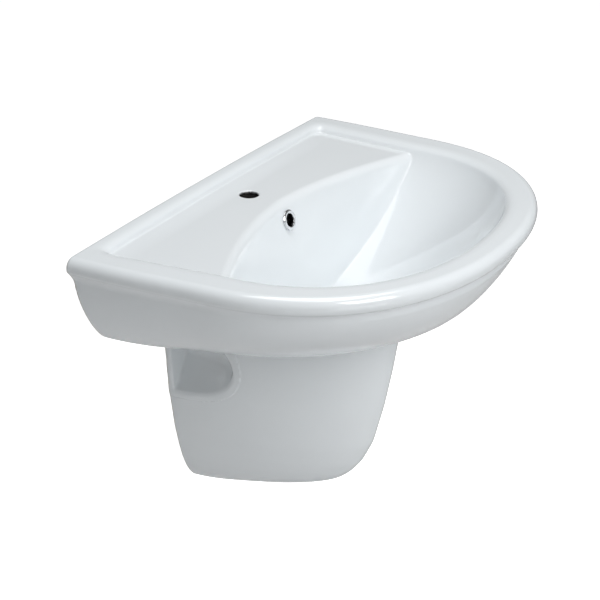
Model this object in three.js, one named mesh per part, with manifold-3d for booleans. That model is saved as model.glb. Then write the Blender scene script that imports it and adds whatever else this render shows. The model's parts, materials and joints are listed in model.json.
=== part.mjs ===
// A wall-hung washbasin with a semi-pedestal, its waste, its bottle trap and its fixings, in millimetres.
// The origin is on the wall face, midway between the two basin fixings. X runs along the wall, the room
// is towards -Y and Z is up. Depths are measured down from the top of the rim.
import * as THREE from "three";
import { mergeVertices } from "three/addons/utils/BufferGeometryUtils.js";
import Module from "manifold-3d";

const wasm = await Module();
wasm.setup();

// Shared clearances
const gap = 0.3; // between pieces that touch
const overrun = 30; // how far a cutting shape runs past the face that it cuts
const chinaJoint = 0.6; // between the two china pieces

// Basin, outside
const basinWidth = 630;
const basinProjection = 451.5;
const rimAboveFixings = 65;
const waistFromWall = 189; // where the straight sides turn into the curved front
const waistNarrowing = 9.4;
const rimPower = 2.16; // the superellipse power of the front outline
const beadRadius = 12;
const neckDepth = 36;
const neckInset = 13;
const frontNeckInset = 11;
const heelInset = 80;
const frontHeelInset = 107.2;
const heelWaistFromWall = 156;
const heelPower = 1.89;
const heelNarrowingShare = 0.6;
const upstandCrown = 3.4;

// Basin, inside
const chinaWall = 11;
const backWall = 14;
const rimBandSide = 48;
const rimBandFront = 41;
const rimBandWall = 43;
const upstandDepth = 24;
const panPower = 2.25;
const panCornerPower = 9;
const deckDepth = 10;
const bowlDepth = 155;
const bowlPower = 1.6;
const bowlFullness = 0.76;
const tapHoleRadius = 14;
const tapHoleFromWall = 70;
const bowlBackBeyondTapHole = 42.5;
const bowlBackMiddle = tapHoleFromWall + bowlBackBeyondTapHole; // the deck's front edge from the wall
const bowlBackSweep = 64.5;
const bowlBackHalfWidth = 245;
const bowlBackPower = 1.75;
const lipRadius = 15;
const bowlBackAngle = THREE.MathUtils.degToRad(74);

// Basin, underside: where the side turns under, and the rounded belly below the bowl
const bellyBelowBowl = 13;
const bellyDepth = bowlDepth + bellyBelowBowl;
const bellySag = 29;
const heelDepth = bellyDepth - bellySag;

// Basin, fixing holes and the room round them
const fixingSpacing = 280;
const fixingHoleRadius = 9;
const serviceBeyondFixing = 45;
const serviceHalfWidth = fixingSpacing / 2 + serviceBeyondFixing;
const serviceBeyondTapHole = 34;
const serviceFromWall = tapHoleFromWall + serviceBeyondTapHole;
const windowFromFixing = 45;
const windowHalfWidth = fixingSpacing / 2 - windowFromFixing;
const windowDepth = 88;

// Waste hole
const wasteBeyondBowlBack = 93.5;
const wasteFromWall = bowlBackMiddle + wasteBeyondBowlBack;
const wasteTubeRadius = 20.9;
const wasteHoleClearance = 2.1;
const wasteHoleRadius = wasteTubeRadius + wasteHoleClearance;
const wasteFlangeRadius = 32.5;
const wasteSeatClearance = 1;
const wasteSeatRadius = wasteFlangeRadius + wasteSeatClearance;
const wasteSeatRise = 1.5; // above the bottom of the bowl
const wasteSeatDepth = bowlDepth - wasteSeatRise;
const bossWall = 16;
const bossRadius = wasteHoleRadius + bossWall;

// Overflow
const overflowBelowDeck = 25.3;
const overflowDepth = deckDepth + overflowBelowDeck;
const overflowHoleRadius = 11.5;
const channelHalfWidth = 11;
const channelThickness = 10;
const channelWall = 8;
const channelAboveOverflow = 10.3;
const channelTopDepth = overflowDepth - channelAboveOverflow;
const channelBelowBowl = 16;
const channelRoofDepth = bowlDepth + channelBelowBowl;
const channelHeight = 12;
const channelFloorDepth = channelRoofDepth + channelHeight;
const bossBelowChannel = 22;
const bossDepth = channelFloorDepth + bossBelowChannel;
const overflowTubeWall = 2.2;
const overflowRingBore = overflowHoleRadius - gap - overflowTubeWall;
const overflowRingLap = 2.8;
const overflowRingRadius = overflowHoleRadius + overflowRingLap;
const overflowRingRise = 2.4;
const overflowTubeReach = 3; // into the channel
const overflowTubeLength = channelWall + overflowTubeReach;
const overflowRingLift = 0.9; // the flange's clearance to the bowl's curved back

// Waste and plug
const wasteFlangeThickness = 2.5;
const wasteTubeWall = 2.4;
const wasteTailBelowBoss = 29;
const wasteTubeEndDepth = bossDepth + wasteTailBelowBoss;
const flangeSealThickness = 1.5;
const overflowSlotWidth = 16;
const lowerWasherHeight = 7;
const lowerWasherLap = 8;
const lowerWasherRadius = wasteHoleRadius + lowerWasherLap;
const backNutHeight = 9;
const backNutWall = 4.8;
const spiderThickness = 4;
const spiderWidth = 7;
const spiderArms = 3;
const stemRadius = 4;
const stemGrip = 1.5; // how far the stem reaches into the plug
const stemRoom = 4.3; // between the stem and the cartridge's floor when the plug is shut
const cartridgeHeight = 20;
const cartridgeWall = 3.7;
const cartridgeFloor = 2.5;
const cartridgeBelowFlange = 6;
const plugInset = 3.5;
const plugRadius = wasteFlangeRadius - plugInset;
const plugThickness = 4.5;
const plugSealLap = 2.1;
const plugSealRadius = wasteTubeRadius + plugSealLap;
const plugSealThickness = 3;

// Bottle trap
const inletWasherThickness = 2;
const inletTubeRadius = 16;
const tubeWall = 1.2;
const inletFlangeInset = 0.9;
const inletFlangeRadius = wasteTubeRadius - inletFlangeInset;
const inletFlangeThickness = 2.4;
const nutEndWall = 2.4;
const couplingNutOnTail = 11; // how far the coupling nut reaches up the waste's tail
const couplingNutTopDepth = wasteTubeEndDepth - couplingNutOnTail;
const couplingNutHeight = 18;
const couplingNutWall = 4;
const trapBelowCoupling = 19;
const trapBodyTopDepth = couplingNutTopDepth + couplingNutHeight + trapBelowCoupling;
const topNutHeight = 15;
const topNutWall = 4.2;
const topSealThickness = 3;
const trapNeckWall = 4.2;
const trapNeckRadius = inletTubeRadius + gap + trapNeckWall;
const trapNeckHeight = 9;
const topNutRadius = trapNeckRadius + gap + topNutWall;
const trapShoulder = 2;
const trapBodyRadius = topNutRadius + trapShoulder;
const trapBodyWall = 2;
const trapBodyHeight = 51;
const inletTubeBelowBody = 18;
const inletTubeEndDepth = trapBodyTopDepth + trapBodyHeight + inletTubeBelowBody;
const outletBelowBodyTop = 20;
const outletDepth = trapBodyTopDepth + outletBelowBodyTop;
const outletTubeRadius = 16;
const outletStubWall = 3.2;
const outletStubRadius = outletTubeRadius + gap + outletStubWall;
const outletStubLength = 20;
const outletStubFromAxis = trapBodyRadius + outletStubLength;
const outletPipeInsert = 10; // how far the pipe reaches into the stub
const outletNutLength = 17;
const outletNutWall = 4.2;
const outletNutRadius = outletStubRadius + gap + outletNutWall;
const outletSealThickness = 3;
const cupWall = 2;
const cupClearance = 0.8; // round the body, so that the cup can turn
const cupSkirtHeight = 11;
const cupRoomBelowTube = 11;
const cupHeight = inletTubeBelowBody + cupRoomBelowTube;
const cupSealThickness = 2;
const cupGripRadius = 13;
const cupGripHeight = 5;
const rosetteBrim = 15.7;
const rosetteRadius = outletTubeRadius + gap + rosetteBrim;
const rosetteThickness = 9;

// Semi-pedestal
const pedestalWall = 10;
const pedestalAboveHeel = 11;
const pedestalTopDepth = heelDepth - pedestalAboveHeel;
const roomBesideTrap = 77;
const pedestalTopHalfWidth = trapBodyRadius + roomBesideTrap + pedestalWall;
const pedestalBeyondWaste = 96;
const pedestalTopProjection = wasteFromWall + pedestalBeyondWaste;
const pedestalPower = 1.79;
const pedestalFloor = 12;
const roomBelowTrap = 89.4;
const cupBottomDepth =
  trapBodyTopDepth + trapBodyHeight + cupSealThickness + gap * 2 + cupHeight + cupGripHeight;
const pedestalBottomDepth = cupBottomDepth + roomBelowTrap + pedestalFloor;
const nicheWidth = 57;
const nicheReach = 93;
const nicheHeight = 47;
const nicheBelowTop = 100;
const nicheDepth = pedestalTopDepth + nicheBelowTop;
const nicheEarThickness = 9;
const nichePower = 2.2;
const screwAboveNiche = 29;
const pedestalScrewDepth = nicheDepth - screwAboveNiche;
const screwFromSide = 27;
const pedestalScrewFromMiddle = pedestalTopHalfWidth - screwFromSide;

// Slip nuts
const nutSides = 6;
const collarRibs = 12;

// Basin fixings
const studRadius = 5;
const studBeyondNut = 16.1;
const sleeveClearance = 0.4;
const sleeveRadius = fixingHoleRadius - sleeveClearance;
const sleeveFlangeLap = 4;
const sleeveFlangeRadius = fixingHoleRadius + sleeveFlangeLap;
const sleeveFlangeThickness = 3;
const washerLap = 5;
const washerRadius = fixingHoleRadius + washerLap;
const washerThickness = 2;
const nutWall = 3.2;
const nutHeight = 8;

// Pedestal fixings
const screwRadius = 3;
const pedestalHoleClearance = 1;
const pedestalHoleRadius = screwRadius + pedestalHoleClearance;
const screwHeadLap = 3;
const screwHeadRadius = screwRadius + screwHeadLap;
const screwHeadHeight = 4;
const bushLap = 4.5;
const bushRadius = pedestalHoleRadius + bushLap;
const bushThickness = 2;
const capWall = 1.4;
const capClearance = 0.8;
const capRadius = screwHeadRadius + capClearance + capWall;
const capHeight = 7.2;

// How finely round things are faceted
const frontSteps = 38;
const sideSteps = 4;
const panSteps = 56;
const roundSteps = 20;
const smallSteps = 14;
const ribSteps = 8;
const beadSteps = 6;
const hollowBeadSteps = 2;
const nicheSteps = 26;
const nicheRings = 14;

const level = (depth) => rimAboveFixings - depth;
const mix = (from, to, share) => from + (to - from) * share;
const signedPower = (value, power) => Math.sign(value) * Math.abs(value) ** power;

// A closed skin through rings that hold the same number of points, with a fan over each end.
function loft(rings) {
  const count = rings[0].length;
  const points = rings.flat();
  const faces = [];
  for (let ring = 0; ring + 1 < rings.length; ring++) {
    for (let i = 0; i < count; i++) {
      const here = ring * count + i;
      const next = ring * count + ((i + 1) % count);
      faces.push(here, next, next + count, here, next + count, here + count);
    }
  }
  for (const [ring, order] of [[0, -1], [rings.length - 1, 1]]) {
    const centre = new THREE.Vector3();
    rings[ring].forEach((point) => centre.addScaledVector(point, 1 / count));
    points.push(centre);
    for (let i = 0; i < count; i++) {
      const here = ring * count + i;
      const next = ring * count + ((i + 1) % count);
      faces.push(points.length - 1, ...(order > 0 ? [here, next] : [next, here]));
    }
  }
  return new THREE.BufferGeometry().setFromPoints(points).setIndex(faces);
}

// A closed geometry as a solid that can be cut and joined, turned the right way out.
function solid(geometry) {
  const bare = geometry.clone();
  bare.deleteAttribute("normal");
  bare.deleteAttribute("uv");
  const merged = mergeVertices(bare, 1e-4);
  const corners = new Uint32Array(merged.index.array);
  const build = () =>
    new wasm.Manifold(
      new wasm.Mesh({
        numProp: 3,
        vertProperties: merged.attributes.position.array,
        triVerts: corners,
      }),
    );
  const made = build();
  if (made.volume() > 0) return made;
  for (let i = 0; i < corners.length; i += 3) {
    [corners[i + 1], corners[i + 2]] = [corners[i + 2], corners[i + 1]];
  }
  return build();
}

// A solid as a geometry to draw.
function geometryOf(made) {
  const mesh = made.getMesh();
  const places = new Float32Array(mesh.numVert * 3);
  for (let i = 0; i < mesh.numVert; i++) {
    places.set(mesh.vertProperties.subarray(i * mesh.numProp, i * mesh.numProp + 3), i * 3);
  }
  return new THREE.BufferGeometry()
    .setAttribute("position", new THREE.BufferAttribute(places, 3))
    .setIndex(new THREE.BufferAttribute(mesh.triVerts, 1));
}

// A profile of [radius, height] corners turned about Z.
function turned(profile, steps = roundSteps) {
  const corners = profile.map(([radius, height]) => new THREE.Vector2(radius, height));
  return new THREE.LatheGeometry(corners, steps).rotateX(Math.PI / 2);
}

// A tube with straight walls, standing on Z from low to high.
function sleeve(inner, outer, low, high, steps = roundSteps) {
  return turned([[inner, low], [outer, low], [outer, high], [inner, high], [inner, low]], steps);
}

function rod(radius, low, high, steps = roundSteps) {
  return turned([[0, low], [radius, low], [radius, high], [0, high]], steps);
}

function box(lowX, highX, lowY, highY, lowZ, highZ) {
  return new THREE.BoxGeometry(highX - lowX, highY - lowY, highZ - lowZ).translate(
    (lowX + highX) / 2,
    (lowY + highY) / 2,
    (lowZ + highZ) / 2,
  );
}

// A nut with flat sides and a round bore, standing on Z. Its wall is thinnest at the flats.
function hexNut(bore, wall, low, high) {
  const cornerRadius = ((bore + wall) * 2) / Math.sqrt(3);
  const body = solid(rod(cornerRadius, low, high, nutSides));
  return geometryOf(body.subtract(solid(rod(bore, low - overrun, high + overrun))));
}

// A collar with finger ribs round it, as on slip nuts.
function ribbedCollar(profile, outer, low, high) {
  const ribRadius = outer / collarRibs;
  let body = solid(turned(profile));
  for (let i = 0; i < collarRibs; i++) {
    const angle = (i / collarRibs) * Math.PI * 2;
    const rib = rod(ribRadius, low, high, ribSteps).translate(
      (outer - ribRadius / 2) * Math.cos(angle),
      (outer - ribRadius / 2) * Math.sin(angle),
      0,
    );
    body = body.add(solid(rib));
  }
  return body;
}

// The basin's plan at one depth, wound from behind the wall round the front and back again.
function hullRing({ side, front, turn, depth }) {
  const atWall = basinWidth / 2 - side;
  const atWaist = atWall - waistNarrowing - Math.max(0, side - neckInset) * heelNarrowingShare * turn;
  const waist = mix(waistFromWall, heelWaistFromWall, turn);
  const power = mix(rimPower, heelPower, turn);
  const reach = basinProjection - front - waist;
  const half = [new THREE.Vector3(atWall, overrun, level(depth))];
  for (let i = 0; i < sideSteps; i++) {
    const share = i / sideSteps;
    half.push(new THREE.Vector3(mix(atWall, atWaist, share * share), -waist * share, level(depth)));
  }
  for (let i = 0; i < frontSteps / 2; i++) {
    const angle = (i / frontSteps) * Math.PI;
    half.push(
      new THREE.Vector3(
        atWaist * signedPower(Math.cos(angle), 2 / power),
        -waist - reach * signedPower(Math.sin(angle), 2 / power),
        level(depth),
      ),
    );
  }
  const nose = new THREE.Vector3(0, -(basinProjection - front), level(depth));
  const mirrored = half.map((point) => new THREE.Vector3(-point.x, point.y, point.z)).reverse();
  return [...half, nose, ...mirrored];
}

// The side of the basin between the neck and the heel: shares of the drop, and of the side and front insets.
const apronShares = [
  [0, 0, 0],
  [0.165, 0.087, 0.087],
  [0.354, 0.184, 0.228],
  [0.553, 0.335, 0.396],
  [0.718, 0.482, 0.563],
  [0.825, 0.59, 0.69],
  [0.913, 0.735, 0.82],
  [0.971, 0.84, 0.927],
  [1, 1, 1],
];
const beadEndAngle = THREE.MathUtils.degToRad(-35);
const bellyShares = [0.74, 0.48, 0.24];

// The whole outside of the basin, with its skin moved out by a distance that can be negative.
function hull(out, steps = beadSteps) {
  const rings = [];
  for (let i = 0; i <= steps; i++) {
    const angle = mix(Math.PI / 2, beadEndAngle, i / steps);
    const inset = beadRadius - (beadRadius + out) * Math.cos(angle);
    const depth = beadRadius - (beadRadius + out) * Math.sin(angle);
    rings.push(hullRing({ side: inset, front: inset, turn: 0, depth }));
  }
  for (const [drop, side, front] of apronShares) {
    rings.push(
      hullRing({
        side: mix(neckInset, heelInset, side) - out,
        front: mix(frontNeckInset, frontHeelInset, front) - out,
        turn: drop,
        depth: mix(neckDepth, heelDepth, drop) + out * side,
      }),
    );
  }
  const heel = rings[rings.length - 1];
  for (const share of bellyShares) {
    const z = level(mix(bellyDepth, heelDepth, share * share) + out);
    const ring = heel.map(
      (point) =>
        new THREE.Vector3(point.x * share, mix(-wasteFromWall, point.y, share), z),
    );
    rings.push(ring);
  }
  return solid(loft(rings));
}

// The outline of the recess inside the rim, moved outwards by a distance, with its square rear corners.
function panRing(out, z) {
  const ring = [];
  const waistX = basinWidth / 2 - waistNarrowing - rimBandSide + out;
  const wallX = basinWidth / 2 - rimBandWall + out;
  const frontReach = basinProjection - rimBandFront - waistFromWall + out;
  const rearReach = waistFromWall - upstandDepth + out;
  for (let i = 0; i < panSteps; i++) {
    const angle = (i / panSteps) * Math.PI * 2;
    const rear = Math.sin(angle) > 0;
    const power = 2 / (rear ? panCornerPower : panPower);
    const across = signedPower(Math.cos(angle), power);
    const along = signedPower(Math.sin(angle), power);
    const halfWidth = rear ? mix(waistX, wallX, Math.min(1, along)) : waistX;
    const y = -waistFromWall + along * (rear ? rearReach : frontReach);
    ring.push(new THREE.Vector3(halfWidth * across, y, z));
  }
  return ring;
}

// The shallow recess that leaves the deck, with a rolled inner edge.
const panEdgeShares = [
  [0.55, 0.05],
  [0.3, 0.12],
  [0, 0.35],
  [-0.3, 0.72],
  [-0.55, 0.94],
  [-0.9, 1],
];
const panEdgeWidth = 14;

function panCutter(out) {
  const rings = [panRing(out + panEdgeWidth * panEdgeShares[0][0], level(-overrun))];
  for (const [inset, drop] of panEdgeShares) {
    rings.push(panRing(out + panEdgeWidth * inset, level(deckDepth * drop + out)));
  }
  return solid(loft(rings));
}

// The deck's front edge and the steep back of the bowl below it, as a distance from the wall.
function bowlBack(x, depth) {
  const sweep = bowlBackSweep * (Math.abs(x) / bowlBackHalfWidth) ** bowlBackPower;
  const edge = bowlBackMiddle + sweep;
  const drop = Math.max(0, depth - deckDepth);
  const lipDrop = lipRadius * (1 - Math.cos(bowlBackAngle));
  if (drop < lipDrop) {
    const angle = Math.acos(1 - drop / lipRadius);
    return edge + lipRadius * Math.sin(angle);
  }
  return edge + lipRadius * Math.sin(bowlBackAngle) + (drop - lipDrop) / Math.tan(bowlBackAngle);
}

const bowlShares = [1, 0.985, 0.955, 0.91, 0.84, 0.75, 0.64, 0.52, 0.39, 0.26, 0.14, 0.06];
const hollowShares = [1, 0.955, 0.86, 0.7, 0.5, 0.3, 0.12];
const bowlBackShares = [0, 0.004, 0.016, 0.04, 0.075, 0.3, 0.6, 1.1];
const bowlBackSteps = 22;

// The bowl as a cutting shape: a full round bowl, kept only in front of its steep back.
function bowlCutter(out, shares = bowlShares) {
  const centre = new THREE.Vector3(0, -wasteFromWall, 0);
  const rings = [panRing(out, level(-overrun))];
  for (const share of shares) {
    const depth = (bowlDepth + out) * (1 - share ** bowlPower) ** bowlFullness;
    const ring = panRing(out, level(depth));
    rings.push(
      ring.map(
        (point) => new THREE.Vector3(point.x * share, mix(centre.y, point.y, share), point.z),
      ),
    );
  }
  const slab = [];
  const reach = basinWidth / 2 + overrun;
  const frontY = -basinProjection - overrun;
  for (const [index, share] of bowlBackShares.entries()) {
    const depth = deckDepth + bowlDepth * share;
    const z = index === 0 ? level(-overrun) : level(depth);
    slab.push(backRing(depth, z, reach, frontY, out));
    if (index === 0) slab.push(backRing(depth, level(depth - gap), reach, frontY, out));
  }
  return solid(loft(rings)).intersect(solid(loft(slab)));
}

function backRing(depth, z, reach, frontY, out) {
  const ring = [];
  for (let i = 0; i <= bowlBackSteps; i++) {
    const x = mix(-reach, reach, i / bowlBackSteps);
    ring.push(new THREE.Vector3(x, -bowlBack(x, depth) + out, z));
  }
  ring.push(new THREE.Vector3(reach, frontY, z));
  ring.push(new THREE.Vector3(-reach, frontY, z));
  return ring;
}

// A flat outline in the plane of Y and Z, given thickness evenly about the middle plane.
function sidePlate(corners, halfWidth) {
  const shape = new THREE.Shape(corners.map(([y, z]) => new THREE.Vector2(y, z)));
  return new THREE.ExtrudeGeometry(shape, { depth: halfWidth * 2, bevelEnabled: false })
    .rotateY(Math.PI / 2)
    .rotateX(Math.PI / 2)
    .translate(-halfWidth, 0, 0);
}

// The overflow's waterway behind the bowl: down the back, then forward into the waste hole.
function channelOutline(grow) {
  const front = (depth) => -bowlBack(0, depth) + channelWall - grow;
  const back = (depth) => -bowlBack(0, depth) + channelWall + channelThickness + grow;
  const top = channelTopDepth - grow;
  const roof = channelRoofDepth - grow;
  const floor = channelFloorDepth + grow;
  return [
    [front(top), level(top)],
    [front(roof), level(roof)],
    [-wasteFromWall, level(roof)],
    [-wasteFromWall, level(floor)],
    [back(roof), level(floor)],
    [back(roof), level(roof)],
    [back(top), level(top)],
  ];
}

// A round cutter square to the back of the bowl, at the overflow.
const overflowY = -bowlBack(0, overflowDepth);
function facingOverflow(geometry) {
  return geometry.rotateX(bowlBackAngle).translate(0, overflowY, level(overflowDepth));
}

// A round piece turned about Z, laid along Y so that its foot is on the wall at a place.
function onWall(geometry, x, z) {
  return geometry.rotateX(Math.PI / 2).translate(x, 0, z);
}

// The room behind the bowl, open below, where the fixings are reached.
function serviceRoom(inset) {
  return box(
    inset - serviceHalfWidth,
    serviceHalfWidth - inset,
    inset - serviceFromWall,
    -backWall - inset,
    level(bossDepth),
    level(heelDepth - chinaWall * 2),
  );
}

function makeBasin() {
  const crownHalfWidth = basinWidth / 2 - beadRadius;
  const crown = new THREE.Shape();
  crown.moveTo(-crownHalfWidth, level(beadRadius));
  crown.lineTo(crownHalfWidth, level(beadRadius));
  crown.lineTo(crownHalfWidth, level(0));
  crown.quadraticCurveTo(0, level(-2 * upstandCrown), -crownHalfWidth, level(0));
  const crownRun = new THREE.ExtrudeGeometry(crown, {
    depth: upstandDepth + beadRadius,
    bevelEnabled: false,
    curveSegments: smallSteps,
  });
  crownRun.rotateX(Math.PI / 2);

  const behindWall = box(
    -basinWidth,
    basinWidth,
    0,
    overrun * 2,
    level(pedestalBottomDepth),
    level(-overrun * 2),
  );
  const inFrontOfBackWall = box(
    -basinWidth,
    basinWidth,
    -basinProjection * 2,
    -backWall,
    level(pedestalBottomDepth),
    level(-overrun * 2),
  );
  const rearWindow = box(
    -windowHalfWidth,
    windowHalfWidth,
    -backWall - overrun,
    overrun,
    level(bossDepth),
    level(windowDepth),
  );

  const upright = hull(0).add(solid(crownRun));
  const recess = panCutter(0).add(bowlCutter(0));
  const grown = panCutter(chinaWall).add(bowlCutter(chinaWall, hollowShares));
  const hollow = hull(-chinaWall, hollowBeadSteps)
    .intersect(solid(inFrontOfBackWall))
    .add(solid(serviceRoom(0)))
    .subtract(grown);
  const boss = solid(
    rod(bossRadius, level(bossDepth), level(bowlDepth), roundSteps).translate(0, -wasteFromWall, 0),
  );
  const rib = solid(sidePlate(channelOutline(channelWall - gap), channelHalfWidth + channelWall));
  const channel = solid(sidePlate(channelOutline(0), channelHalfWidth));
  const wasteHole = rod(wasteHoleRadius, level(bossDepth + overrun), level(0)).translate(
    0,
    -wasteFromWall,
    0,
  );
  const wasteSeat = rod(wasteSeatRadius, level(wasteSeatDepth), level(0)).translate(
    0,
    -wasteFromWall,
    0,
  );
  const tapHole = rod(tapHoleRadius, level(deckDepth + overrun), level(-overrun), smallSteps).translate(
    0,
    -tapHoleFromWall,
    0,
  );
  const overflowHole = facingOverflow(
    rod(overflowHoleRadius, -channelWall - channelThickness / 2, channelWall, smallSteps),
  );

  let basin = upright
    .subtract(solid(behindWall))
    .subtract(hollow)
    .add(boss)
    .add(rib)
    .subtract(recess)
    .subtract(channel)
    .subtract(solid(rearWindow))
    .subtract(solid(wasteHole))
    .subtract(solid(wasteSeat))
    .subtract(solid(tapHole))
    .subtract(solid(overflowHole));
  for (const side of [-1, 1]) {
    const hole = onWall(
      rod(fixingHoleRadius, -overrun, backWall + overrun, smallSteps),
      (side * fixingSpacing) / 2,
      0,
    );
    basin = basin.subtract(solid(hole));
  }
  return basin;
}

// The semi-pedestal's outline: shares of its height down from the top, of its half width and of its reach.
const pedestalShares = [
  [0, 1, 1],
  [0.12, 0.995, 0.986],
  [0.29, 0.968, 0.958],
  [0.47, 0.93, 0.921],
  [0.66, 0.84, 0.87],
  [0.76, 0.766, 0.819],
  [0.82, 0.713, 0.771],
  [0.87, 0.655, 0.713],
  [0.91, 0.595, 0.598],
  [0.945, 0.527, 0.43],
  [0.975, 0.45, 0.276],
  [1, 0.27, 0.161],
];

function pedestalRing(halfWidth, reach, z) {
  const ring = [new THREE.Vector3(halfWidth, overrun, z)];
  for (let i = 0; i <= frontSteps; i++) {
    const angle = (i / frontSteps) * Math.PI;
    const x = halfWidth * signedPower(Math.cos(angle), 2 / pedestalPower);
    const y = -reach * signedPower(Math.sin(angle), 2 / pedestalPower);
    ring.push(new THREE.Vector3(x, Math.min(y, 0), z));
  }
  ring.push(new THREE.Vector3(-halfWidth, overrun, z));
  return ring;
}

function pedestalLoft(inset, top, bottom) {
  const rings = pedestalShares.map(([drop, width, reach]) =>
    pedestalRing(
      pedestalTopHalfWidth * width - inset,
      pedestalTopProjection * reach - inset,
      level(mix(top, bottom, drop)),
    ),
  );
  return solid(loft(rings));
}

// The rounded recess in each side that gives a screwdriver room in front of the ear.
function nicheCutter(side) {
  const ball = new THREE.SphereGeometry(1, nicheSteps, nicheRings);
  const place = ball.attributes.position;
  for (let i = 0; i < place.count; i++) {
    const length = Math.hypot(
      Math.abs(place.getX(i)) ** (nichePower / 2),
      Math.abs(place.getY(i)) ** (nichePower / 2),
      Math.abs(place.getZ(i)) ** (nichePower / 2),
    );
    const stretch = length ** (-2 / nichePower);
    place.setXYZ(i, place.getX(i) * stretch, place.getY(i) * stretch, place.getZ(i) * stretch);
  }
  ball.scale(nicheWidth, nicheReach, nicheHeight);
  ball.translate(side * pedestalTopHalfWidth, -nicheEarThickness, level(nicheDepth));
  const keep = box(
    -basinWidth,
    basinWidth,
    -basinProjection,
    -nicheEarThickness,
    level(pedestalBottomDepth),
    level(0),
  );
  return solid(ball).intersect(solid(keep));
}

// The wall of china behind each niche, which follows it at the wall's thickness.
function nicheBulge(side) {
  const scaleUp = (size) => (size + pedestalWall) / size;
  const ball = new THREE.SphereGeometry(1, nicheSteps, nicheRings);
  ball.scale(
    nicheWidth * scaleUp(nicheWidth),
    nicheReach * scaleUp(nicheReach),
    nicheHeight * scaleUp(nicheHeight),
  );
  ball.translate(side * pedestalTopHalfWidth, -nicheEarThickness, level(nicheDepth));
  const keep = box(-basinWidth, basinWidth, -basinProjection, 0, level(pedestalBottomDepth), level(0));
  return solid(ball).intersect(solid(keep));
}

function makePedestal() {
  const outside = pedestalLoft(0, pedestalTopDepth, pedestalBottomDepth);
  const inside = pedestalLoft(
    pedestalWall,
    pedestalTopDepth - overrun,
    pedestalBottomDepth - pedestalFloor,
  );
  const behindWall = box(
    -basinWidth,
    basinWidth,
    0,
    overrun * 2,
    level(pedestalBottomDepth + overrun),
    level(-overrun),
  );
  let pedestal = outside.subtract(inside);
  for (const side of [-1, 1]) {
    pedestal = pedestal.add(nicheBulge(side).intersect(outside)).subtract(nicheCutter(side));
  }
  const underBasin = hull(chinaJoint).subtract(solid(serviceRoom(chinaJoint)));
  pedestal = pedestal.subtract(solid(behindWall)).subtract(underBasin);
  for (const side of [-1, 1]) {
    const hole = onWall(
      rod(pedestalHoleRadius, -overrun, nicheEarThickness + overrun, smallSteps),
      side * pedestalScrewFromMiddle,
      level(pedestalScrewDepth),
    );
    pedestal = pedestal.subtract(solid(hole));
  }
  return pedestal;
}

// Finishes, as colour, roughness and metalness
const finishes = {
  china: [0xeef0f1, 0.08, 0],
  chrome: [0xd8dadc, 0.12, 1],
  brass: [0xb08d4c, 0.35, 1],
  steel: [0xb9bcc0, 0.35, 1],
  rubber: [0x1d1d1f, 0.8, 0],
  whitePlastic: [0xf1f1ef, 0.4, 0],
  greyPlastic: [0x9a9da1, 0.5, 0],
};

const sink = new THREE.Group();

function piece(name, shape, finish, parent = sink) {
  const geometry = shape.isBufferGeometry ? shape : geometryOf(shape);
  const [color, roughness, metalness] = finishes[finish];
  const mesh = new THREE.Mesh(
    geometry,
    new THREE.MeshStandardMaterial({ color, roughness, metalness }),
  );
  mesh.name = name;
  parent.add(mesh);
  return mesh;
}

piece("basin", makeBasin(), "china");
piece("semi_pedestal", makePedestal(), "china");

// Overflow ring: a flange with a rolled edge on a short tube, pushed into the overflow hole. The shares
// run from the outer edge to the bore: across the flange, and of its rise.
const overflowRingShares = [
  [1, 0],
  [1, 0.5],
  [0.75, 0.9],
  [0.45, 1],
  [0.15, 0.8],
  [0, 0.4],
];
const overflowRing = turned([
  [overflowRingBore, -overflowTubeLength],
  [overflowHoleRadius - gap, -overflowTubeLength],
  [overflowHoleRadius - gap, overflowRingLift],
  ...overflowRingShares.map(([across, rise]) => [
    mix(overflowRingBore, overflowRingRadius, across),
    overflowRingLift + overflowRingRise * rise,
  ]),
  [overflowRingBore, -overflowTubeLength],
]);
piece("overflow_ring", facingOverflow(overflowRing), "chrome");

// Everything on the waste's axis stands in one group.
const wasteAxis = new THREE.Group();
wasteAxis.position.set(0, -wasteFromWall, 0);
sink.add(wasteAxis);

const flangeLow = level(wasteSeatDepth) + flangeSealThickness + gap * 2;
const flangeHigh = flangeLow + wasteFlangeThickness;
const wasteBore = wasteTubeRadius - wasteTubeWall;
const cartridgeHigh = flangeHigh - cartridgeBelowFlange + gap;
const cartridgeLow = cartridgeHigh - cartridgeHeight;
const spiderTop = cartridgeLow - gap;
const cartridgeBore = stemRadius + gap;

const flangeEdgeShare = 0.4; // of the flange's thickness, left upright at its edge
function makeWasteBody() {
  let body = solid(
    turned([
      [wasteBore, level(wasteTubeEndDepth)],
      [wasteTubeRadius, level(wasteTubeEndDepth)],
      [wasteTubeRadius, flangeLow],
      [wasteFlangeRadius, flangeLow],
      [wasteFlangeRadius, mix(flangeLow, flangeHigh, flangeEdgeShare)],
      [wasteFlangeRadius - wasteFlangeThickness, flangeHigh],
      [wasteBore + wasteTubeWall, flangeHigh],
      [wasteBore, flangeHigh - wasteTubeWall],
      [wasteBore, level(wasteTubeEndDepth)],
    ]),
  );
  const reach = wasteBore + wasteTubeWall / 2;
  for (let arms = 0; arms < spiderArms; arms++) {
    const arm = box(
      0,
      reach,
      -spiderWidth / 2,
      spiderWidth / 2,
      spiderTop - spiderThickness,
      spiderTop,
    ).rotateZ((arms / spiderArms) * Math.PI * 2);
    body = body.add(solid(arm));
  }
  const slots = box(
    -overflowSlotWidth / 2,
    overflowSlotWidth / 2,
    -wasteHoleRadius,
    wasteHoleRadius,
    level(channelFloorDepth),
    level(channelRoofDepth),
  );
  const cross = box(
    -wasteHoleRadius,
    wasteHoleRadius,
    -overflowSlotWidth / 2,
    overflowSlotWidth / 2,
    level(channelFloorDepth),
    level(channelRoofDepth),
  );
  return body.subtract(solid(slots)).subtract(solid(cross));
}

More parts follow.
